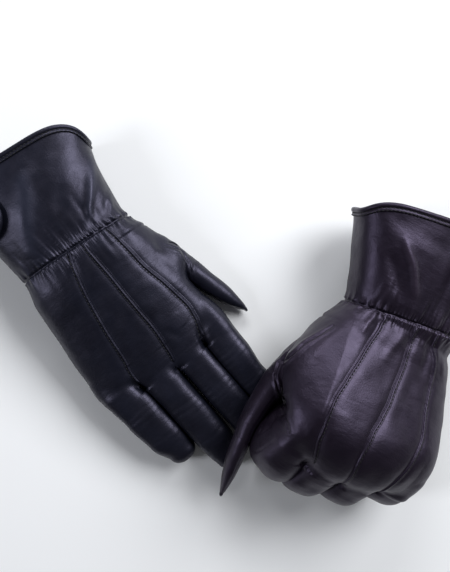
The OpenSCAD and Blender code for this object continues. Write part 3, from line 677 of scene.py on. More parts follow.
# ---------------------------------------------------------------- meshing
def surface_nets(solid, low, high, step):
    """Quads of the zero surface of a distance function, on a lattice that is fine only near it."""
    block = 8
    count = [int(math.ceil((high[i] - low[i]) / step / block)) * block for i in range(3)]
    axes = [low[i] + step * np.arange(count[i]) for i in range(3)]
    mids = [a[::block] + step * (block - 1) / 2 for a in axes]
    centres = np.stack(np.meshgrid(*mids, indexing="ij"), -1)
    coarse = solid(centres.reshape(-1, 3)).reshape(centres.shape[:3])
    active = np.abs(coarse) < step * block * 1.35
    grow = lambda a: a.repeat(block, 0).repeat(block, 1).repeat(block, 2)
    mask = grow(active)
    values = np.where(grow(coarse) > 0, 50.0, -50.0)
    for i in range(3):
        a, b = [slice(None)] * 3, [slice(None)] * 3
        a[i], b[i] = slice(1, None), slice(0, -1)
        mask[tuple(a)] |= mask[tuple(b)].copy()
    where = np.argwhere(mask)
    flat = np.empty(len(where))
    batch = 150000
    for i in range(0, len(where), batch):
        part = where[i:i + batch]
        flat[i:i + batch] = solid(np.stack([axes[k][part[:, k]] for k in range(3)], -1))
    values[mask] = flat
    inside = values < 0
    corners = [(a, b, c) for a in (0, 1) for b in (0, 1) for c in (0, 1)]
    n = inside.shape
    total = sum(inside[a:n[0] - 1 + a, b:n[1] - 1 + b, c:n[2] - 1 + c].astype(np.int8)
                for a, b, c in corners)
    used = (total > 0) & (total < 8)
    cells = np.argwhere(used)
    index = np.full(used.shape, -1)
    index[used] = np.arange(len(cells))
    at = np.stack([values[cells[:, 0] + a, cells[:, 1] + b, cells[:, 2] + c] for a, b, c in corners], 1)
    place, weight = np.zeros((len(cells), 3)), np.zeros(len(cells))
    corner = np.array(corners, float)
    for i in range(8):
        for j in range(i + 1, 8):
            if np.abs(corner[i] - corner[j]).sum() == 1:
                cross = (at[:, i] < 0) != (at[:, j] < 0)
                t = np.where(cross, at[:, i] / np.where(cross, at[:, i] - at[:, j], 1), 0)
                place += np.where(cross[:, None], corner[i] + t[:, None] * (corner[j] - corner[i]), 0)
                weight += cross
    points = (cells + place / weight[:, None]) * step + np.array([a[0] for a in axes])
    quads = []
    for axis in range(3):
        a, b = [slice(None)] * 3, [slice(None)] * 3
        a[axis], b[axis] = slice(0, -1), slice(1, None)
        edge = np.argwhere(inside[tuple(a)] != inside[tuple(b)])
        u, v = ((1, 2), (2, 0), (0, 1))[axis]
        edge = edge[(edge[:, u] > 0) & (edge[:, v] > 0)
                    & (edge[:, u] < n[u] - 1) & (edge[:, v] < n[v] - 1)]
        out = inside[edge[:, 0], edge[:, 1], edge[:, 2]]

        def cell(du, dv):
            c = edge.copy()
            c[:, u] -= du
            c[:, v] -= dv
            return index[c[:, 0], c[:, 1], c[:, 2]]
        q = np.stack([cell(1, 1), cell(0, 1), cell(0, 0), cell(1, 0)], 1)
        q[~out] = q[~out][:, ::-1]
        quads.append(q)
    quads = np.concatenate(quads)
    return points, quads[(quads >= 0).all(1)]


def triangles(quads):
    return np.concatenate([quads[:, [0, 1, 2]], quads[:, [0, 2, 3]]])


def mesh_normals(p, t):
    """Smooth normals of a triangle mesh, weighted by area."""
    face = np.cross(p[t[:, 1]] - p[t[:, 0]], p[t[:, 2]] - p[t[:, 0]])
    out = np.zeros_like(p)
    for k in range(3):
        np.add.at(out, t[:, k], face)
    return unit(out)


def compact(v, t):
    """Drops the points that no triangle uses."""
    used, t = np.unique(t, return_inverse=True)
    return v[used], t.reshape(-1, 3)


def cut(v, t, f):
    """Splits triangles where column f of v is zero. Returns the parts below and above."""
    value = v[:, f]
    above = value[t] > 0
    count = above.sum(1)
    mixed = (count == 1) | (count == 2)
    odd = above[mixed] == (count[mixed] == 1)[:, None]
    first = odd.argmax(1)
    m = t[mixed]
    rows = np.arange(len(m))
    a, b, c = m[rows, first], m[rows, (first + 1) % 3], m[rows, (first + 2) % 3]
    pairs = np.concatenate([np.stack([a, b], 1), np.stack([a, c], 1)])
    pairs.sort(axis=1)
    keys, where = np.unique(pairs, axis=0, return_inverse=True)
    where = where.reshape(-1)
    k, l = keys[:, 0], keys[:, 1]
    share = (value[k] / (value[k] - value[l]))[:, None]
    fresh = v[k] * (1 - share) + v[l] * share
    fresh[:, f] = 0
    ab, ac = where[:len(m)] + len(v), where[len(m):] + len(v)
    lone = np.stack([a, ab, ac], 1)
    rest = np.concatenate([np.stack([ab, b, c], 1), np.stack([ab, c, ac], 1)])
    lone_above = count[mixed] == 1
    rest_above = np.concatenate([~lone_above, ~lone_above])
    v = np.concatenate([v, fresh])
    low = np.concatenate([t[count == 0], lone[~lone_above], rest[~rest_above]])
    high = np.concatenate([t[count == 3], lone[lone_above], rest[rest_above]])
    return compact(v, low), compact(v, high)


def merge(parts):
    """Joins cut parts again, welding what lies within a hundredth of a millimetre."""
    v = np.concatenate([a for a, _ in parts])
    offset = np.cumsum([0] + [len(a) for a, _ in parts[:-1]])
    t = np.concatenate([b + o for (_, b), o in zip(parts, offset)])
    cells = np.round(v[:, :3] / 0.01).astype(int)
    _, first, where = np.unique(cells, axis=0, return_index=True, return_inverse=True)
    t = where.reshape(-1)[t]
    v = v[first]
    keep = (t[:, 0] != t[:, 1]) & (t[:, 1] != t[:, 2]) & (t[:, 2] != t[:, 0])
    return compact(v, t[keep])


def largest(v, t):
    """The biggest connected part."""
    label = np.arange(len(v))
    for _ in range(400):
        low = label[t].min(1)
        new = label.copy()
        for k in range(3):
            np.minimum.at(new, t[:, k], low)
        new = new[new]
        if (new == label).all():
            break
        label = new
    names, count = np.unique(label[t[:, 0]], return_counts=True)
    return compact(v, t[label[t[:, 0]] == names[count.argmax()]])


def add_mesh(name, p, faces, normals, at, worn=None):
    """A Blender mesh in metres from millimetre points; normals are one per face corner."""
    mesh = bpy.data.meshes.new(name)
    mesh.vertices.add(len(p))
    mesh.vertices.foreach_set("co", (np.asarray(p) * MM).astype(np.float32).ravel())
    k = faces.shape[1]
    mesh.loops.add(faces.size)
    mesh.loops.foreach_set("vertex_index", faces.astype(np.int32).ravel())
    mesh.polygons.add(len(faces))
    mesh.polygons.foreach_set("loop_start", np.arange(0, faces.size, k, dtype=np.int32))
    mesh.polygons.foreach_set("loop_total", np.full(len(faces), k, dtype=np.int32))
    mesh.update(calc_edges=True)
    mesh.polygons.foreach_set("use_smooth", np.ones(len(faces), bool))
    layer = mesh.attributes.new("at", "FLOAT_VECTOR", "POINT")
    layer.data.foreach_set("vector", np.asarray(at, np.float32).ravel())
    layer = mesh.attributes.new("worn", "FLOAT", "POINT")
    layer.data.foreach_set("value", np.asarray(np.zeros(len(p)) if worn is None else worn, np.float32))
    mesh.normals_split_custom_set(np.asarray(normals, np.float32).reshape(-1, 3))
    obj = bpy.data.objects.new(name, mesh)
    bpy.context.scene.collection.objects.link(obj)
    return obj


def facing_out(world, t):
    """The triangles of a closed mesh, turned over if they face inwards."""
    a = world[0]
    volume = np.einsum("ij,ij->", np.cross(world[t[:, 0]] - a, world[t[:, 1]] - a), world[t[:, 2]] - a)
    return t[:, ::-1] if volume < 0 else t


def leather_piece(g, name, v, t):
    """Gives a skin thickness and walls, and makes it a piece. v holds place, normal and wear."""
    p, n = v[:, :3], unit(v[:, 3:6])
    outer = to_world(g, p)
    normal = n @ g["posed"].T
    inner = outer - LEATHER * normal
    outer[:, 2] = np.maximum(outer[:, 2], 0.12)
    inner[:, 2] = np.maximum(inner[:, 2], 0.47)
    if g["hand"] < 0:
        t = t[:, ::-1]
    k = len(p)
    edges = np.concatenate([t[:, [0, 1]], t[:, [1, 2]], t[:, [2, 0]]])
    key = edges[:, 0].astype(np.int64) * k + edges[:, 1]
    back = edges[:, 1].astype(np.int64) * k + edges[:, 0]
    a, b = edges[~np.isin(key, back)].T
    walls = np.concatenate([np.stack([b, a, a + k], 1), np.stack([b, a + k, b + k], 1)])
    faces = np.concatenate([t, t[:, ::-1] + k, walls])
    points = np.concatenate([outer, inner])
    corner = points[walls[:, 0]]
    flat = unit(np.cross(points[walls[:, 1]] - corner, points[walls[:, 2]] - corner))
    loops = np.concatenate([normal[t], -normal[t[:, ::-1]], np.repeat(flat[:, None], 3, 1)])
    at = np.concatenate([p, p])
    worn = np.concatenate([v[:, 6], v[:, 6]])
    return add_mesh(f"{g['name']}_{name}", points, faces, loops, at, worn)


def settle(obj, g, nodes, body=None, blend=None):
    """Hides the CAD nodes a piece stands for and parents it to its body; a piece given a blend is baked in place
    and parented to no body.
    """
    if nodes:
        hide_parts(*[f"{g['name']}_{n}" for n in nodes])
    if blend:
        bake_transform(obj)
    else:
        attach(obj, f"{g['name']}_{body or 'hand'}")


# ---------------------------------------------------------------- hand, stalls and thumb
def mesh_region(g, solid, low, high, thumb=False):
    """Meshes a form inside a box: places, normals, triangles and relief."""
    p, quads = surface_nets(solid, low, high, CELL)
    t = triangles(quads)
    p, _, height = finish_surface(g, solid, p, thumb)
    return p, mesh_normals(p, t), t, height


def columns(p, n, height, *fields):
    """One row per point: place, normal, relief, and from column 7 the fields to cut along."""
    return np.concatenate([p, n, height[:, None]] + [np.asarray(f, float)[:, None] for f in fields], 1)


def build_hand(g):
    """The back, the palm and the thumb's gusset."""
    low, high = (np.array(corner, float) for corner in g["box"])
    low = np.floor(low / CELL) * CELL
    p, n, t, height = mesh_region(g, lambda q: trunk(g, q), low, high)
    x, s, lift, *_ = hand_place(g, p)
    thumb, (past, *_) = g["thumb_form"].form(p @ g["to_level"].T)
    v = columns(p, n, height, s - JOIN, lift, thumb - hand_solid(g, p), past, *[x - b for b in g["borders"]])
    f_join, f_lift, f_thumb, f_past, f_border = 7, 8, 9, 10, 11
    _, (v, t) = cut(v, t, f_join)
    strips = []
    rest = (v, t)
    for i, stall in enumerate(g["stalls"]):
        (sv, st), rest = cut(*rest, f_border + i) if i < 3 else (rest, None)
        reach = stall.place(sv[:, :3])[0]
        # a curled stall comes near the hand again, so only its root is cut off
        sv = np.concatenate([sv, np.where(reach < 13, reach, -1)[:, None]], 1)
        strips.append(cut(sv, st, sv.shape[1] - 1)[0])
    root, hand = cut(*largest(*merge(strips)), f_thumb)
    gusset, _ = cut(*root, f_past)
    palm, back = cut(*hand, f_lift)
    for name, node_name, mesh in (("back", "back_panel", back), ("palm", "palm_panel", palm),
                                  ("thumb_gusset", "thumb_gusset", gusset)):
        settle(leather_piece(g, f"{name}_leather", *largest(*mesh)), g, [node_name])


def build_stall(g, i):
    """Back, front and fork strips of a finger stall."""
    stall = g["stalls"][i]
    poses = [stall.p0, stall.p1, stall.p2, stall.p3, stall.p4, go(stall.p4, stall.l3 + 12)]
    ys, zs = [pose[0] for pose in poses], [pose[1] for pose in poses]
    low = np.array([stall.x - (34 if stall.bulges else 19), min(ys) - 19, min(zs) - 19])
    high = np.array([stall.x + 19 + max(0, stall.drift), max(ys) + 19, max(zs) + 19])
    # every region shares one lattice, so that the cut edges meet
    low = np.floor(low / CELL) * CELL
    p, n, t, height = mesh_region(g, lambda q: stall_solid(g, stall, q), low, high)
    form, (reach, _, b, _, h) = stall.form(p)
    form = bulging(g, stall, form, p)
    x = p[:, 0]
    borders = [-1e3] + list(g["borders"]) + [1e3]
    inside = (x > borders[i]) & (x < borders[i + 1])
    keep = (inside & (form < 5.5)) | (form < 0.6)
    t = t[keep[t].all(1)]
    up, fork = b / h, stall.fork(reach)
    v = columns(p, n, height, reach, up - fork, -up - fork)
    _, (v, t) = cut(v, t, 7)
    v, t = largest(v, t)
    rest, back = cut(v, t, 8)
    forks, front = cut(*rest, 9)
    y, z, ang = stall.p0
    start = to_world(g, np.array([stall.x, y, z])) * MM
    dy, dz = math.cos(ang), -math.sin(ang)
    end = to_world(g, np.array([stall.x, y + 17 * dy, z + 17 * dz])) * MM
    for part, mesh in (("back", back), ("front", front), ("forks", forks)):
        obj = leather_piece(g, f"{stall.name}_{part}_leather", *mesh)
        settle(obj, g, [f"{stall.name}_{part}"], blend=(stall.name, start, end))


def build_thumb(g):
    """Back and front of the thumb stall."""
    thumb = g["thumb_form"]
    rows = thumb.rows
    corners = np.array([[x, y, z] for x in (rows[2:, 0].min() - 16, rows[2:, 0].max() + 16)
                        for y in (rows[2, 1] - 4, rows[-1, 1] + 8)
                        for z in (rows[2:, 2].min() - 17, rows[2:, 2].max() + 17)])
    own = corners @ g["to_level"]
    low, high = np.floor(own.min(0) / CELL) * CELL, own.max(0)
    p, n, t, height = mesh_region(g, lambda q: thumb_solid(g, q), low, high, thumb=True)
    form, (past, a, b, w, h, _) = thumb.form(p @ g["to_level"].T)
    keep = (form < 2.5) & (past > -3)
    t = t[keep[t].all(1)]
    turned = np.arctan2(b / h, a / w) - math.radians(g["thumb_seam"])
    v = columns(p, n, height, past, np.sin(turned))
    _, (v, t) = cut(v, t, 7)
    v, t = largest(v, t)
    front, back = cut(v, t, 8)
    start = (thumb.cut @ g["level"].T + np.array(g["place"])) * MM
    end = ((thumb.cut + 16 * thumb.axis) @ g["level"].T + np.array(g["place"])) * MM
    for part, mesh in (("back", back), ("front", front)):
        obj = leather_piece(g, f"thumb_{part}_leather", *mesh)
        settle(obj, g, [f"thumb_{part}"], blend=("thumb", start, end))


# ---------------------------------------------------------------- cuff, lining and other swept parts
def rim(g, q, side):
    """Where the cuff ends, as s."""
    a, b, c = g["cuff"]
    return -(a + c * q + np.where(side > 0, b, 3) * (1 - np.abs(q) ** 5))


def skin(g, q, side, s, o):
    """Point of the hand and cuff form: q across, side 1 back or -1 palm, s along, o outwards."""
    w, c, h = smooth(g["width"], s), smooth(g["centre"], s), smooth(g["height"], s)
    x = c + w * q
    y, z, a = middle(g, x, s)
    m = (side * (h + o) * np.maximum(0, 1 - np.abs(q) ** HAND_POWER) ** (1 / HAND_POWER)
         - hang(g, x, s))
    return np.stack([c + (w + o) * q, y + m * np.sin(a), z + m * np.cos(a)], -1)


def around(count):
    """Even columns once around the wrist, as q and side, from the little finger over the back."""
    share = np.arange(count) / count
    start = np.interp(0, angle, ring_share)
    a = np.interp((share + start) % 1, ring_share, angle)
    q = wrist_radius(a) * np.cos(a) / WRIST_WIDTH
    return np.clip(q, -1, 1), np.where(np.sin(a) >= 0, 1.0, -1.0)


def grid_faces(rows, count):
    """Quads between rows of points that each close on themselves."""
    i, j = np.meshgrid(np.arange(rows - 1), np.arange(count), indexing="ij")
    a, b = i * count + j, i * count + (j + 1) % count
    return np.stack([a, a + count, b + count, b], -1).reshape(-1, 4)


def build_cuff(g):
    """The two halves of the cuff and the gathered band between cuff and hand."""
    count = 432
    q, side = around(count)
    edge = rim(g, q, side)
    far = np.linspace(1, 0.16, 52)
    near = np.linspace(-1, 0, 26)[1:]
    band = np.linspace(0, JOIN + 2, 30)[1:]
    s = np.array([edge * t for t in far] + [edge * 0.16 * -t for t in near] + [np.full(count, v) for v in band])
    p = skin(g, q[None] + 0 * s, side[None] + 0 * s, s, 0).reshape(-1, 3)
    p, n, height = finish_surface(g, lambda v: trunk(g, v), p)
    t = triangles(grid_faces(len(s), count))
    out = mesh_normals(p, t)
    if (out * n).sum() < 0:
        t, out = t[:, ::-1], -out
    _, along, lift, share, *_ = hand_place(g, p)
    v = columns(p, out, height, s.reshape(-1) + gather_shift(g, share), lift, along - JOIN)
    v, t = cut(v, t, 9)[0]
    for name, mesh, in_cad in zip(("cuff", "gathered"), cut(v, t, 7), (True, False)):
        for half, part in zip(("back", "palm"), cut(*mesh, 8)[::-1]):
            settle(leather_piece(g, f"{name}_{half}_leather", *part), g, [f"cuff_{half}"] if in_cad else [])


def tube_mesh(g, name, rings, closed_rows):
    """rings: rows x points x 3 in the hand frame. Rows close on themselves or end in caps."""
    rows, count = rings.shape[:2]
    p = rings.reshape(-1, 3)
    i, j = np.meshgrid(np.arange(rows if closed_rows else rows - 1), np.arange(count), indexing="ij")
    a, b = i * count + j, i * count + (j + 1) % count
    c, d = (i + 1) % rows * count + j, (i + 1) % rows * count + (j + 1) % count
    quads = np.stack([a, b, d, c], -1).reshape(-1, 4)
    t = triangles(quads)
    if not closed_rows:
        p = np.concatenate([p, rings[0].mean(0)[None], rings[-1].mean(0)[None]])
        k, j, last = len(p) - 2, np.arange(count), (rows - 1) * count
        t = np.concatenate([t, np.stack([(j + 1) % count, j, np.full(count, k)], 1),
                            np.stack([last + j, last + (j + 1) % count, np.full(count, k + 1)], 1)])
    world = to_world(g, p)
    world[:, 2] = np.maximum(world[:, 2], FLOOR)
    t = facing_out(world, t)
    n = mesh_normals(world, t)
    return add_mesh(f"{g['name']}_{name}", world, t, n[t], p)


# across the rim: distance in from the edge, height over the leather
BINDING_PROFILE = [(-2.1, -0.5), (-2.15, 0.35), (-1.75, 1.1), (-0.9, 1.55), (0.1, 1.5), (0.8, 1.05), (1.15, 0.5),
                   (1.5, 0.5), (1.9, 0.85), (2.6, 1.0), (3.3, 0.85), (3.75, 0.3), (3.4, 0.05), (1.5, -0.3),
                   (1.2, -1.2), (1.1, -2.0), (0.2, -2.7), (-0.9, -2.7), (-1.7, -2.0), (-2.05, -1.3)]


def build_binding(g):
    """The rolled edge of the cuff: a roll, a groove and a second ridge, with two rows of stitches."""
    count = 300
    q, side = around(count)
    edge = rim(g, q, side)
    base = skin(g, q, side, edge, 0)
    base, normal, _ = finish_surface(g, lambda v: trunk(g, v), base)
    inward = skin(g, q, side, edge + 2.0, 0) - skin(g, q, side, edge, 0)
    inward = unit(inward - (inward * normal).sum(-1, keepdims=True) * normal)
    rings = np.stack([base + a * inward + b * normal for a, b in BINDING_PROFILE], 1)
    wobble = 1 + 0.05 * noise(base, 7, g["seed"] + 60)[:, None, None]
    rings = base[:, None] + (rings - base[:, None]) * wobble
    settle(tube_mesh(g, "cuff_binding_leather", rings, True), g, ["cuff_binding"])
    for k, (inset, rise) in enumerate(((1.32, 0.62), (3.05, 1.0))):
        line = base + inset * inward + rise * normal
        settle(stitches(g, f"binding_stitches_{k + 1}", line, normal, 2.7, 0.3, closed=True), g, [])


STITCH = 1.9     # length of the thread that shows


def stitches(g, name, line, normal, pitch, radius, closed=False):
    """Thread lying along a line: one rounded lozenge for each stitch."""
    pts = np.concatenate([line, line[:1]]) if closed else line
    ups = np.concatenate([normal, normal[:1]]) if closed else normal
    run = np.concatenate([[0], np.cumsum(np.linalg.norm(np.diff(pts, axis=0), axis=1))])
    count = max(1, int(run[-1] / pitch))
    centre_at = (np.arange(count) + 0.5) * run[-1] / count
    take = lambda a, s: np.stack([np.interp(s, run, a[:, k]) for k in range(3)], -1)
    stations = np.array([-0.5, -0.42, -0.2, 0, 0.2, 0.42, 0.5])
    fat = np.array([0.15, 0.7, 1, 1, 1, 0.7, 0.15])
    sink = np.array([-0.5, -0.2, 0.1, 0.2, 0.1, -0.2, -0.5])
    sides = 8
    points, faces = [], []
    for s in centre_at:
        at = np.clip(s + stations * STITCH, 0, run[-1])
        c, n = take(pts, at), unit(take(ups, at))
        ahead = unit(np.gradient(c, axis=0))
        across = unit(np.cross(ahead, n))
        turn = np.arange(sides) * 2 * math.pi / sides
        ring = (c[:, None] + (radius * sink)[:, None, None] * n[:, None]
                + (radius * fat)[:, None, None] * (np.cos(turn)[None, :, None] * across[:, None]
                                                    + np.sin(turn)[None, :, None] * n[:, None]))
        start = len(points) * (len(stations) * sides + 2)
        block = np.concatenate([ring.reshape(-1, 3), c[:1], c[-1:]])
        f = triangles(grid_faces(len(stations), sides))
        k, j = len(block) - 2, np.arange(sides)
        last = (len(stations) - 1) * sides
        caps = np.concatenate([np.stack([j, (j + 1) % sides, np.full(sides, k)], 1),
                               np.stack([last + (j + 1) % sides, last + j, np.full(sides, k + 1)], 1)])
        points.append(block)
        faces.append(np.concatenate([f, caps]) + start)
    p, t = np.concatenate(points), np.concatenate(faces)
    world = to_world(g, p)
    world[:, 2] = np.maximum(world[:, 2], FLOOR)
    one = t[:len(t) // count]
    if facing_out(world, one) is not one:
        t = t[:, ::-1]
    n = mesh_normals(world, t)
    return add_mesh(f"{g['name']}_{name}", world, t, n[t], p)


# across a raised point: sideways offset, height over the leather
TUCK_PROFILE = [(-2.4, -0.35), (-2.2, 0.0), (-1.5, 0.1), (-1.05, -0.02), (-0.85, 0.35), (-0.6, 0.85), (-0.2, 1.08),
                (0.2, 1.05), (0.55, 0.8), (0.8, 0.3), (1.0, -0.05), (1.5, 0.1), (2.2, 0.0), (2.4, -0.35)]


def on_back(g, x_share, s):
    """Places and normals on the finished back of the hand."""
    p = skin(g, x_share, 1.0 + 0 * s, s, 0)
    p, n, _ = finish_surface(g, lambda v: trunk(g, v), p)
    return p, n


def build_points(g):
    """The three raised points of the back and the stitches beside them."""
    for k, line in enumerate(g["tucks"]):
        first, last = line[0][0], line[-1][0]
        s = np.linspace(first, last, 130)
        q = smooth(line, s)
        w = smooth(g["width"], s)
        fade = ease(first, first + 4, s) * ease(last, last - 4, s)
        sink = 0.9 * ease(last - 4, last, s) + 0.5 * ease(first + 2, first, s)
        grid, normals = [], []
        for a, b in TUCK_PROFILE:
            p, n = on_back(g, q + a / w, s)
            rise = (b * (0.3 + 0.7 * fade) if b > 0 else b) - sink
            grid.append(p + rise[:, None] * n)
            normals.append(n)
        top = np.stack(grid, 1)
        under = top[:, ::-1] - 0.8 * np.stack(normals, 1)[:, ::-1]
        obj = tube_mesh(g, f"point_{k + 1}_leather", np.concatenate([top, under[:, 1:-1]], 1), False)
        settle(obj, g, ["points"] if k == 0 else [])
        kept = (s > first + 2) & (s < last - 3)
        p, n = on_back(g, (q + 1.22 / w)[kept], s[kept])
        settle(stitches(g, f"point_{k + 1}_stitches", p + 0.18 * n, n, 2.6, 0.28), g, [])


def build_inside(g):
    """The cloth lining and the hidden elastic of the wrist."""
    count = 220
    q, side = around(count)
    edge = rim(g, q, side)
    shares = np.concatenate([np.linspace(-0.93, 0, 24), np.linspace(0, 0.86, 40)[1:]])
    lining_reach = 97
    sheets = []
    for depth in (3.0, 3.5):
        rows = np.array([skin(g, q, side, -t * edge if t < 0 else np.full(count, t * lining_reach), -depth)
                         for t in shares])
        mid = rows.mean(1, keepdims=True)
        ripple = 0.35 * noise(rows, 8, g["seed"] + 70) - 0.2 * np.abs(noise(rows, 4, g["seed"] + 71))
        sheets.append(rows + ripple[..., None] * unit(rows - mid))
    outer, inner = sheets
    # one closed loop of rows: out along the outer face, back along the inner face
    rings = np.concatenate([outer, inner[::-1]]).transpose(1, 0, 2)
    settle(tube_mesh(g, "lining_cloth", rings, True), g, ["lining"])
    band = np.linspace(-4.5, 4.5, 13)
    ribs = 0.12 * np.cos(np.arange(len(band)) * math.pi)
    outer = np.array([skin(g, q, side, np.full(count, s), -LEATHER - 1.35 + rib) for s, rib in zip(band, ribs)])
    inner = np.array([skin(g, q, side, np.full(count, s), -LEATHER - 1.9) for s in band])
    rings = np.concatenate([outer, inner[::-1]]).transpose(1, 0, 2)
    settle(tube_mesh(g, "wrist_elastic_band", rings, True), g, ["wrist_elastic"])


# ---------------------------------------------------------------- snap tab
TAB_WIDTH, TAB_LEVEL = 28, 48      # its width, and the distance of its middle line from the gather
TAB_END, TAB_ROUND, TAB_ROOT = 0.44, 0.73, 0.945   # q of its tip, where the tip's curve starts, its fold line
TAB_SCALE = 48                     # millimetres to one q at the tab
TAB_STITCHES = (2.3, 4.6)          # distances of the two stitch rows from the edge


def tab_half(q):
    """Half the tab's width at q: straight, then a rounded end."""
    curve = np.sqrt(np.maximum(0.0, 1 - np.clip((TAB_ROUND - q) / (TAB_ROUND + 0.002 - TAB_END), 0, 1) ** 2))
    return np.where(q > TAB_ROUND, TAB_WIDTH / 2, TAB_WIDTH / 2 * curve)


def tab_rise(q):
    """Height of the tab's underside over the cuff: it steps up from the fold onto the snap."""
    return 0.75 + 2.35 * np.minimum(1, (0.95 - q) / 0.18)


def build_tab(g):
    """The free end of the tab, and its base sewn round the side of the cuff."""
    rows, across = ((60, 31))
    u = np.sin(np.linspace(0, 1, rows) * math.pi / 2)
    q = TAB_ROOT + (TAB_END + 0.0006 - TAB_ROOT) * u
    t = np.sin(np.linspace(-1, 1, across) * math.pi / 2)
    qq, tt = np.meshgrid(q, t, indexing="ij")
    s = -TAB_LEVEL + tt * np.maximum(tab_half(qq), 0.15)
    rim_side = (1 - np.abs(tt)) * tab_half(qq)
    rim_end = (qq - TAB_END) * TAB_SCALE
    from_edge = np.minimum(rim_side, np.where(qq < TAB_ROUND, rim_end, 50))
    crown = 1.55 * np.sqrt(np.clip(from_edge, 0, 1)) + 0.35 * ease(0.5, 4, from_edge)
    for at, depth in zip(TAB_STITCHES, (0.42, 0.3)):
        crown = crown - depth * bell(from_edge - at, 0.55)
    crown = crown + 0.12 * noise(np.stack([qq * 40, s, 0 * s], -1), 4, g["seed"] + 80)
    one = np.ones_like(qq)
    top = skin(g, qq, one, s, tab_rise(qq) + 0.05 + crown)
    under = skin(g, qq, one, s, tab_rise(qq))
    rings = np.concatenate([top, under[:, ::-1]], 1)
    settle(tube_mesh(g, "tab_leather", rings, False), g, ["tab"], body="tab")
    # stitch rows that follow the edge
    for k, inset in enumerate(TAB_STITCHES):
        turn = np.linspace(-math.pi / 2, math.pi / 2, 40)
        half = TAB_WIDTH / 2 - inset
        end_q = TAB_END + inset / TAB_SCALE
        qs = TAB_ROUND - (TAB_ROUND - end_q) * np.cos(turn)
        ss = half * np.sin(turn)
        straight = np.linspace(0.93, 0.735, 12)
        qs = np.concatenate([straight, qs, straight[::-1]])
        ss = np.concatenate([np.full(12, -half), ss, np.full(12, half)]) - TAB_LEVEL
        line = skin(g, qs, np.ones_like(qs), ss, tab_rise(qs) + 1.62)
        above = skin(g, qs, np.ones_like(qs), ss, tab_rise(qs) + 3.0)
        settle(stitches(g, f"tab_stitches_{k + 1}", line, unit(above - line), 2.6, 0.3), g, [], body="tab")
    # the part sewn round the side of the cuff
    places = [(v, 1) for v in (0.953, 0.97, 0.985, 0.995, 1.0)]
    places += [(v, -1) for v in (0.995, 0.985, 0.965, 0.94, 0.9, 0.86, 0.81, 0.76)]
    t = np.sin(np.linspace(-1, 1, 21) * math.pi / 2)
    s = -TAB_LEVEL + t * TAB_WIDTH / 2
    top, under = [], []
    for k, (qv, sd) in enumerate(places):
        edge = np.minimum((1 - np.abs(t)) * TAB_WIDTH / 2, 1 + (len(places) - 1 - k) * 2.0 if k > 6 else 50)
        lift = 1.15 + 0.9 * np.sqrt(np.clip(edge, 0, 1)) - 0.35 * bell(edge - 2.4, 0.6)
        top.append(skin(g, np.full_like(t, qv), np.full_like(t, sd), s, lift))
        under.append(skin(g, np.full_like(t, qv), np.full_like(t, sd), s, 0.55 + 0 * t))
    rings = np.concatenate([np.array(top), np.array(under)[:, ::-1]], 1)
    settle(tube_mesh(g, "tab_base_leather", rings, False), g, ["tab_base"])


# ---------------------------------------------------------------- materials
def node(tree, kind, **values):
    """A shader node with its inputs or settings."""
    n = tree.nodes.new(kind)
    for key, value in values.items():
        if key in n.inputs:
            n.inputs[key].default_value = value
        else:
            setattr(n, key.lower().replace(" ", "_"), value)
    return n


def ramp(tree, value, stops):
    """A colour between two, as (position, colour) pairs."""
    n = tree.nodes.new("ShaderNodeValToRGB")
    for element, (at, colour) in zip(n.color_ramp.elements, stops):
        element.position, element.color = at, (*colour, 1)
    tree.links.new(value, n.inputs[0])
    return n.outputs[0]


def spread(tree, value, low, high, source=(0, 1)):
    """A value mapped from its source range to low and high."""
    n = node(tree, "ShaderNodeMapRange")
    for key, number in zip(("From Min", "From Max", "To Min", "To Max"), (*source, low, high)):
        n.inputs[key].default_value = number
    tree.links.new(value, n.inputs["Value"])
    return n.outputs["Result"]


def new_material(name):
    """A material, its node tree, the function that links its sockets, and its shader."""
    m = bpy.data.materials.new(name)
    m.use_nodes = True
    return m, m.node_tree, m.node_tree.links.new, m.node_tree.nodes["Principled BSDF"]


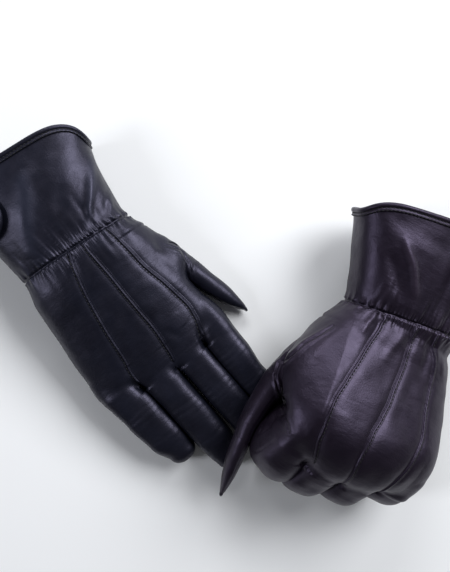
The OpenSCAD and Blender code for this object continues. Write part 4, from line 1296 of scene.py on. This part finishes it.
def leather(name, dark, light, rough=(0.38, 0.48), grain=1.0, tint=(1, 1, 1)):
    """Dyed leather: cloudy colour, lighter on its ridges, with wrinkles, pores and fine grain."""
    m, tree, link, shader = new_material(name)
    at = node(tree, "ShaderNodeAttribute", attribute_name="at").outputs["Vector"]
    cloud = node(tree, "ShaderNodeTexNoise", Scale=0.045, Detail=4.0, Roughness=0.6)
    link(at, cloud.inputs["Vector"])
    colour = ramp(tree, cloud.outputs["Fac"], [(0.3, dark), (0.72, light)])
    worn = node(tree, "ShaderNodeAttribute", attribute_name="worn")
    mix = node(tree, "ShaderNodeMix", data_type="RGBA")
    link(spread(tree, worn.outputs["Fac"], 0, 1, source=(0.25, 1.8)), mix.inputs["Factor"])
    link(colour, mix.inputs["A"])
    mix.inputs["B"].default_value = (*[min(1, c * 1.9 + 0.004) for c in light], 1)
    link(mix.outputs["Result"], shader.inputs["Base Color"])
    # pores: small rounded cells, creased by longer wrinkles
    pores = node(tree, "ShaderNodeTexVoronoi", Scale=1.15)
    pores.feature = "SMOOTH_F1"
    link(at, pores.inputs["Vector"])
    fine = node(tree, "ShaderNodeTexNoise", Scale=1.7, Detail=3.0, Roughness=0.55)
    link(at, fine.inputs["Vector"])
    stretch = node(tree, "ShaderNodeMapping")
    stretch.inputs["Scale"].default_value = (0.42, 0.13, 0.42)
    link(at, stretch.inputs["Vector"])
    wrinkle = node(tree, "ShaderNodeTexNoise", Scale=1.0, Detail=5.0, Roughness=0.62, Distortion=0.7)
    wrinkle.noise_type = "RIDGED_MULTIFRACTAL"
    link(stretch.outputs["Vector"], wrinkle.inputs["Vector"])
    cross = node(tree, "ShaderNodeMapping")
    cross.inputs["Scale"].default_value = (0.1, 0.3, 0.3)
    link(at, cross.inputs["Vector"])
    soft = node(tree, "ShaderNodeTexNoise", Scale=1.0, Detail=3.0, Roughness=0.5, Distortion=0.4)
    link(cross.outputs["Vector"], soft.inputs["Vector"])
    normal = None
    for tex, socket, strength, distance in (
            (soft, "Fac", 0.3, 0.0007), (wrinkle, "Fac", 0.07, 0.0003),
            (pores, "Distance", 0.30 * grain, 0.00016), (fine, "Fac", 0.25 * grain, 0.00012)):
        bump = node(tree, "ShaderNodeBump", Strength=strength, Distance=distance)
        link(tex.outputs[socket], bump.inputs["Height"])
        if normal is not None:
            link(normal, bump.inputs["Normal"])
        normal = bump.outputs["Normal"]
    link(normal, shader.inputs["Normal"])
    patch = node(tree, "ShaderNodeTexNoise", Scale=0.11, Detail=5.0, Roughness=0.6)
    link(at, patch.inputs["Vector"])
    link(spread(tree, patch.outputs["Fac"], *rough, source=(0.3, 0.7)), shader.inputs["Roughness"])
    shader.inputs["IOR"].default_value = 1.5
    shader.inputs["Specular Tint"].default_value = (*tint, 1)
    return m


def cloth(name, colour, light, scale):
    """Knitted or woven cloth: crossed fine waves with fuzz."""
    m, tree, link, shader = new_material(name)
    at = node(tree, "ShaderNodeAttribute", attribute_name="at").outputs["Vector"]
    a, b = (node(tree, "ShaderNodeTexWave", Scale=scale, Distortion=1.2, bands_direction=way) for way in "XY")
    fuzz = node(tree, "ShaderNodeTexNoise", Scale=1.4, Detail=4.0)
    for t in (a, b, fuzz):
        link(at, t.inputs["Vector"])
    both = node(tree, "ShaderNodeMath", operation="MULTIPLY")
    link(a.outputs["Fac"], both.inputs[0])
    link(b.outputs["Fac"], both.inputs[1])
    link(ramp(tree, fuzz.outputs["Fac"], [(0.3, colour), (0.7, light)]), shader.inputs["Base Color"])
    bump = node(tree, "ShaderNodeBump", Strength=0.6, Distance=0.0003)
    link(both.outputs["Value"], bump.inputs["Height"])
    link(bump.outputs["Normal"], shader.inputs["Normal"])
    shader.inputs["Roughness"].default_value = 0.9
    shader.inputs["Sheen Weight"].default_value = 0.25
    return m


def metal(name, colour, rough, metallic=1.0):
    """Satin snap metal with fine scratches."""
    m, tree, link, shader = new_material(name)
    coords = node(tree, "ShaderNodeTexCoord").outputs["Object"]
    scratch = node(tree, "ShaderNodeTexNoise", Scale=900.0, Detail=4.0, Roughness=0.7)
    link(coords, scratch.inputs["Vector"])
    bright = tuple(min(1, c * 1.5 + 0.01) for c in colour)
    link(ramp(tree, scratch.outputs["Fac"], [(0.3, colour), (0.75, bright)]), shader.inputs["Base Color"])
    link(spread(tree, scratch.outputs["Fac"], rough - 0.08, rough + 0.1), shader.inputs["Roughness"])
    bump = node(tree, "ShaderNodeBump", Strength=0.15, Distance=0.00005)
    link(scratch.outputs["Fac"], bump.inputs["Height"])
    link(bump.outputs["Normal"], shader.inputs["Normal"])
    shader.inputs["Metallic"].default_value = metallic
    return m


# ---------------------------------------------------------------- camera first, then the gloves
camera = bpy.data.objects.new("camera", bpy.data.cameras.new("camera"))
camera.location = (0.00136, 0.02027, 0.580)
camera.data.lens = 50.35
camera.data.sensor_fit = "VERTICAL"
camera.data.sensor_height = 36
camera.data.clip_start = 0.01
bpy.context.scene.collection.objects.link(camera)
bpy.context.scene.camera = camera

for glove in (RIGHT, LEFT):
    glove["stalls"] = [Stall(glove, row) for row in glove["fingers"]]
    glove["thumb_form"] = Thumb(glove)
    c, w = float(smooth(glove["centre"], 100.0)), float(smooth(glove["width"], 100.0))
    glove["borders"] = [c + w * q for q, _ in glove["webs"][:3]]
    glove["fold_list"] = make_folds(glove)
    build_hand(glove)
    for number in range(4):
        build_stall(glove, number)
    build_thumb(glove)
    build_cuff(glove)
    build_binding(glove)
    build_points(glove)
    build_inside(glove)
    build_tab(glove)

black = leather("black_leather", (0.0016, 0.002, 0.0044), (0.0038, 0.0048, 0.0098), tint=(0.76, 0.72, 1))
brown = leather("brown_black_leather", (0.003, 0.0017, 0.0038), (0.0072, 0.0045, 0.0086), tint=(0.78, 0.66, 1))
thread = leather("thread_black", (0.002, 0.002, 0.003), (0.005, 0.005, 0.007), rough=(0.55, 0.7), grain=0.4)
lining = cloth("lining_knit", (0.028, 0.028, 0.032), (0.05, 0.05, 0.055), 0.5)
elastic = cloth("elastic_weave", (0.55, 0.54, 0.5), (0.72, 0.71, 0.66), 0.8)
nickel = metal("snap_nickel", (0.42, 0.42, 0.4), 0.32)
enamel = metal("snap_enamel", (0.02, 0.02, 0.024), 0.35, metallic=0.0)
finishes = (("snap_cap", enamel), ("snap", nickel), ("stitches", thread), ("lining", lining),
            ("elastic", elastic), ("right", black), ("left", brown))
for obj in list(bpy.data.objects):
    if obj.type == "MESH" and (obj.name not in frame["nodes"] or "snap" in obj.name):
        obj.data.materials.clear()
        obj.data.materials.append(next(material for word, material in finishes if word in obj.name))

# ---------------------------------------------------------------- floor, light
floor_mesh = bpy.data.meshes.new("floor")
reach = 2.5
square = [(-reach, -reach, 0), (reach, -reach, 0), (reach, reach, 0), (-reach, reach, 0)]
floor_mesh.from_pydata(square, [], [(0, 1, 2, 3)])
floor = bpy.data.objects.new("floor", floor_mesh)
bpy.context.scene.collection.objects.link(floor)
white, _, _, shader = new_material("pale_floor")
for key, value in (("Base Color", (0.9, 0.9, 0.9, 1)), ("Roughness", 0.9), ("Specular IOR Level", 0.1)):
    shader.inputs[key].default_value = value
floor_mesh.materials.append(white)


def area_light(name, place, size, power, colour):
    """A soft light aimed at the middle of the scene."""
    data = bpy.data.lights.new(name, "AREA")
    data.shape, data.size, data.size_y = "RECTANGLE", size[0], size[1]
    data.energy, data.color = power, colour
    obj = bpy.data.objects.new(name, data)
    obj.location = place
    obj.rotation_euler = (-Vector(place)).to_track_quat("-Z", "Y").to_euler()
    bpy.context.scene.collection.objects.link(obj)


area_light("key", (0.88, 0.66, 0.92), (0.8, 0.8), 21, (0.95, 0.97, 1))
area_light("top", (-0.05, 1.15, 0.75), (0.9, 0.4), 9, (0.95, 0.97, 1))
area_light("fill", (-1.1, -0.15, 0.85), (0.35, 0.6), 6, (0.9, 0.93, 1))
world = bpy.data.worlds.new("studio")
world.use_nodes = True
world.node_tree.nodes["Background"].inputs["Color"].default_value = (0.95, 0.97, 1, 1)
world.node_tree.nodes["Background"].inputs["Strength"].default_value = 0.1
bpy.context.scene.world = world
bpy.context.scene.view_settings.view_transform = "Standard"

import json
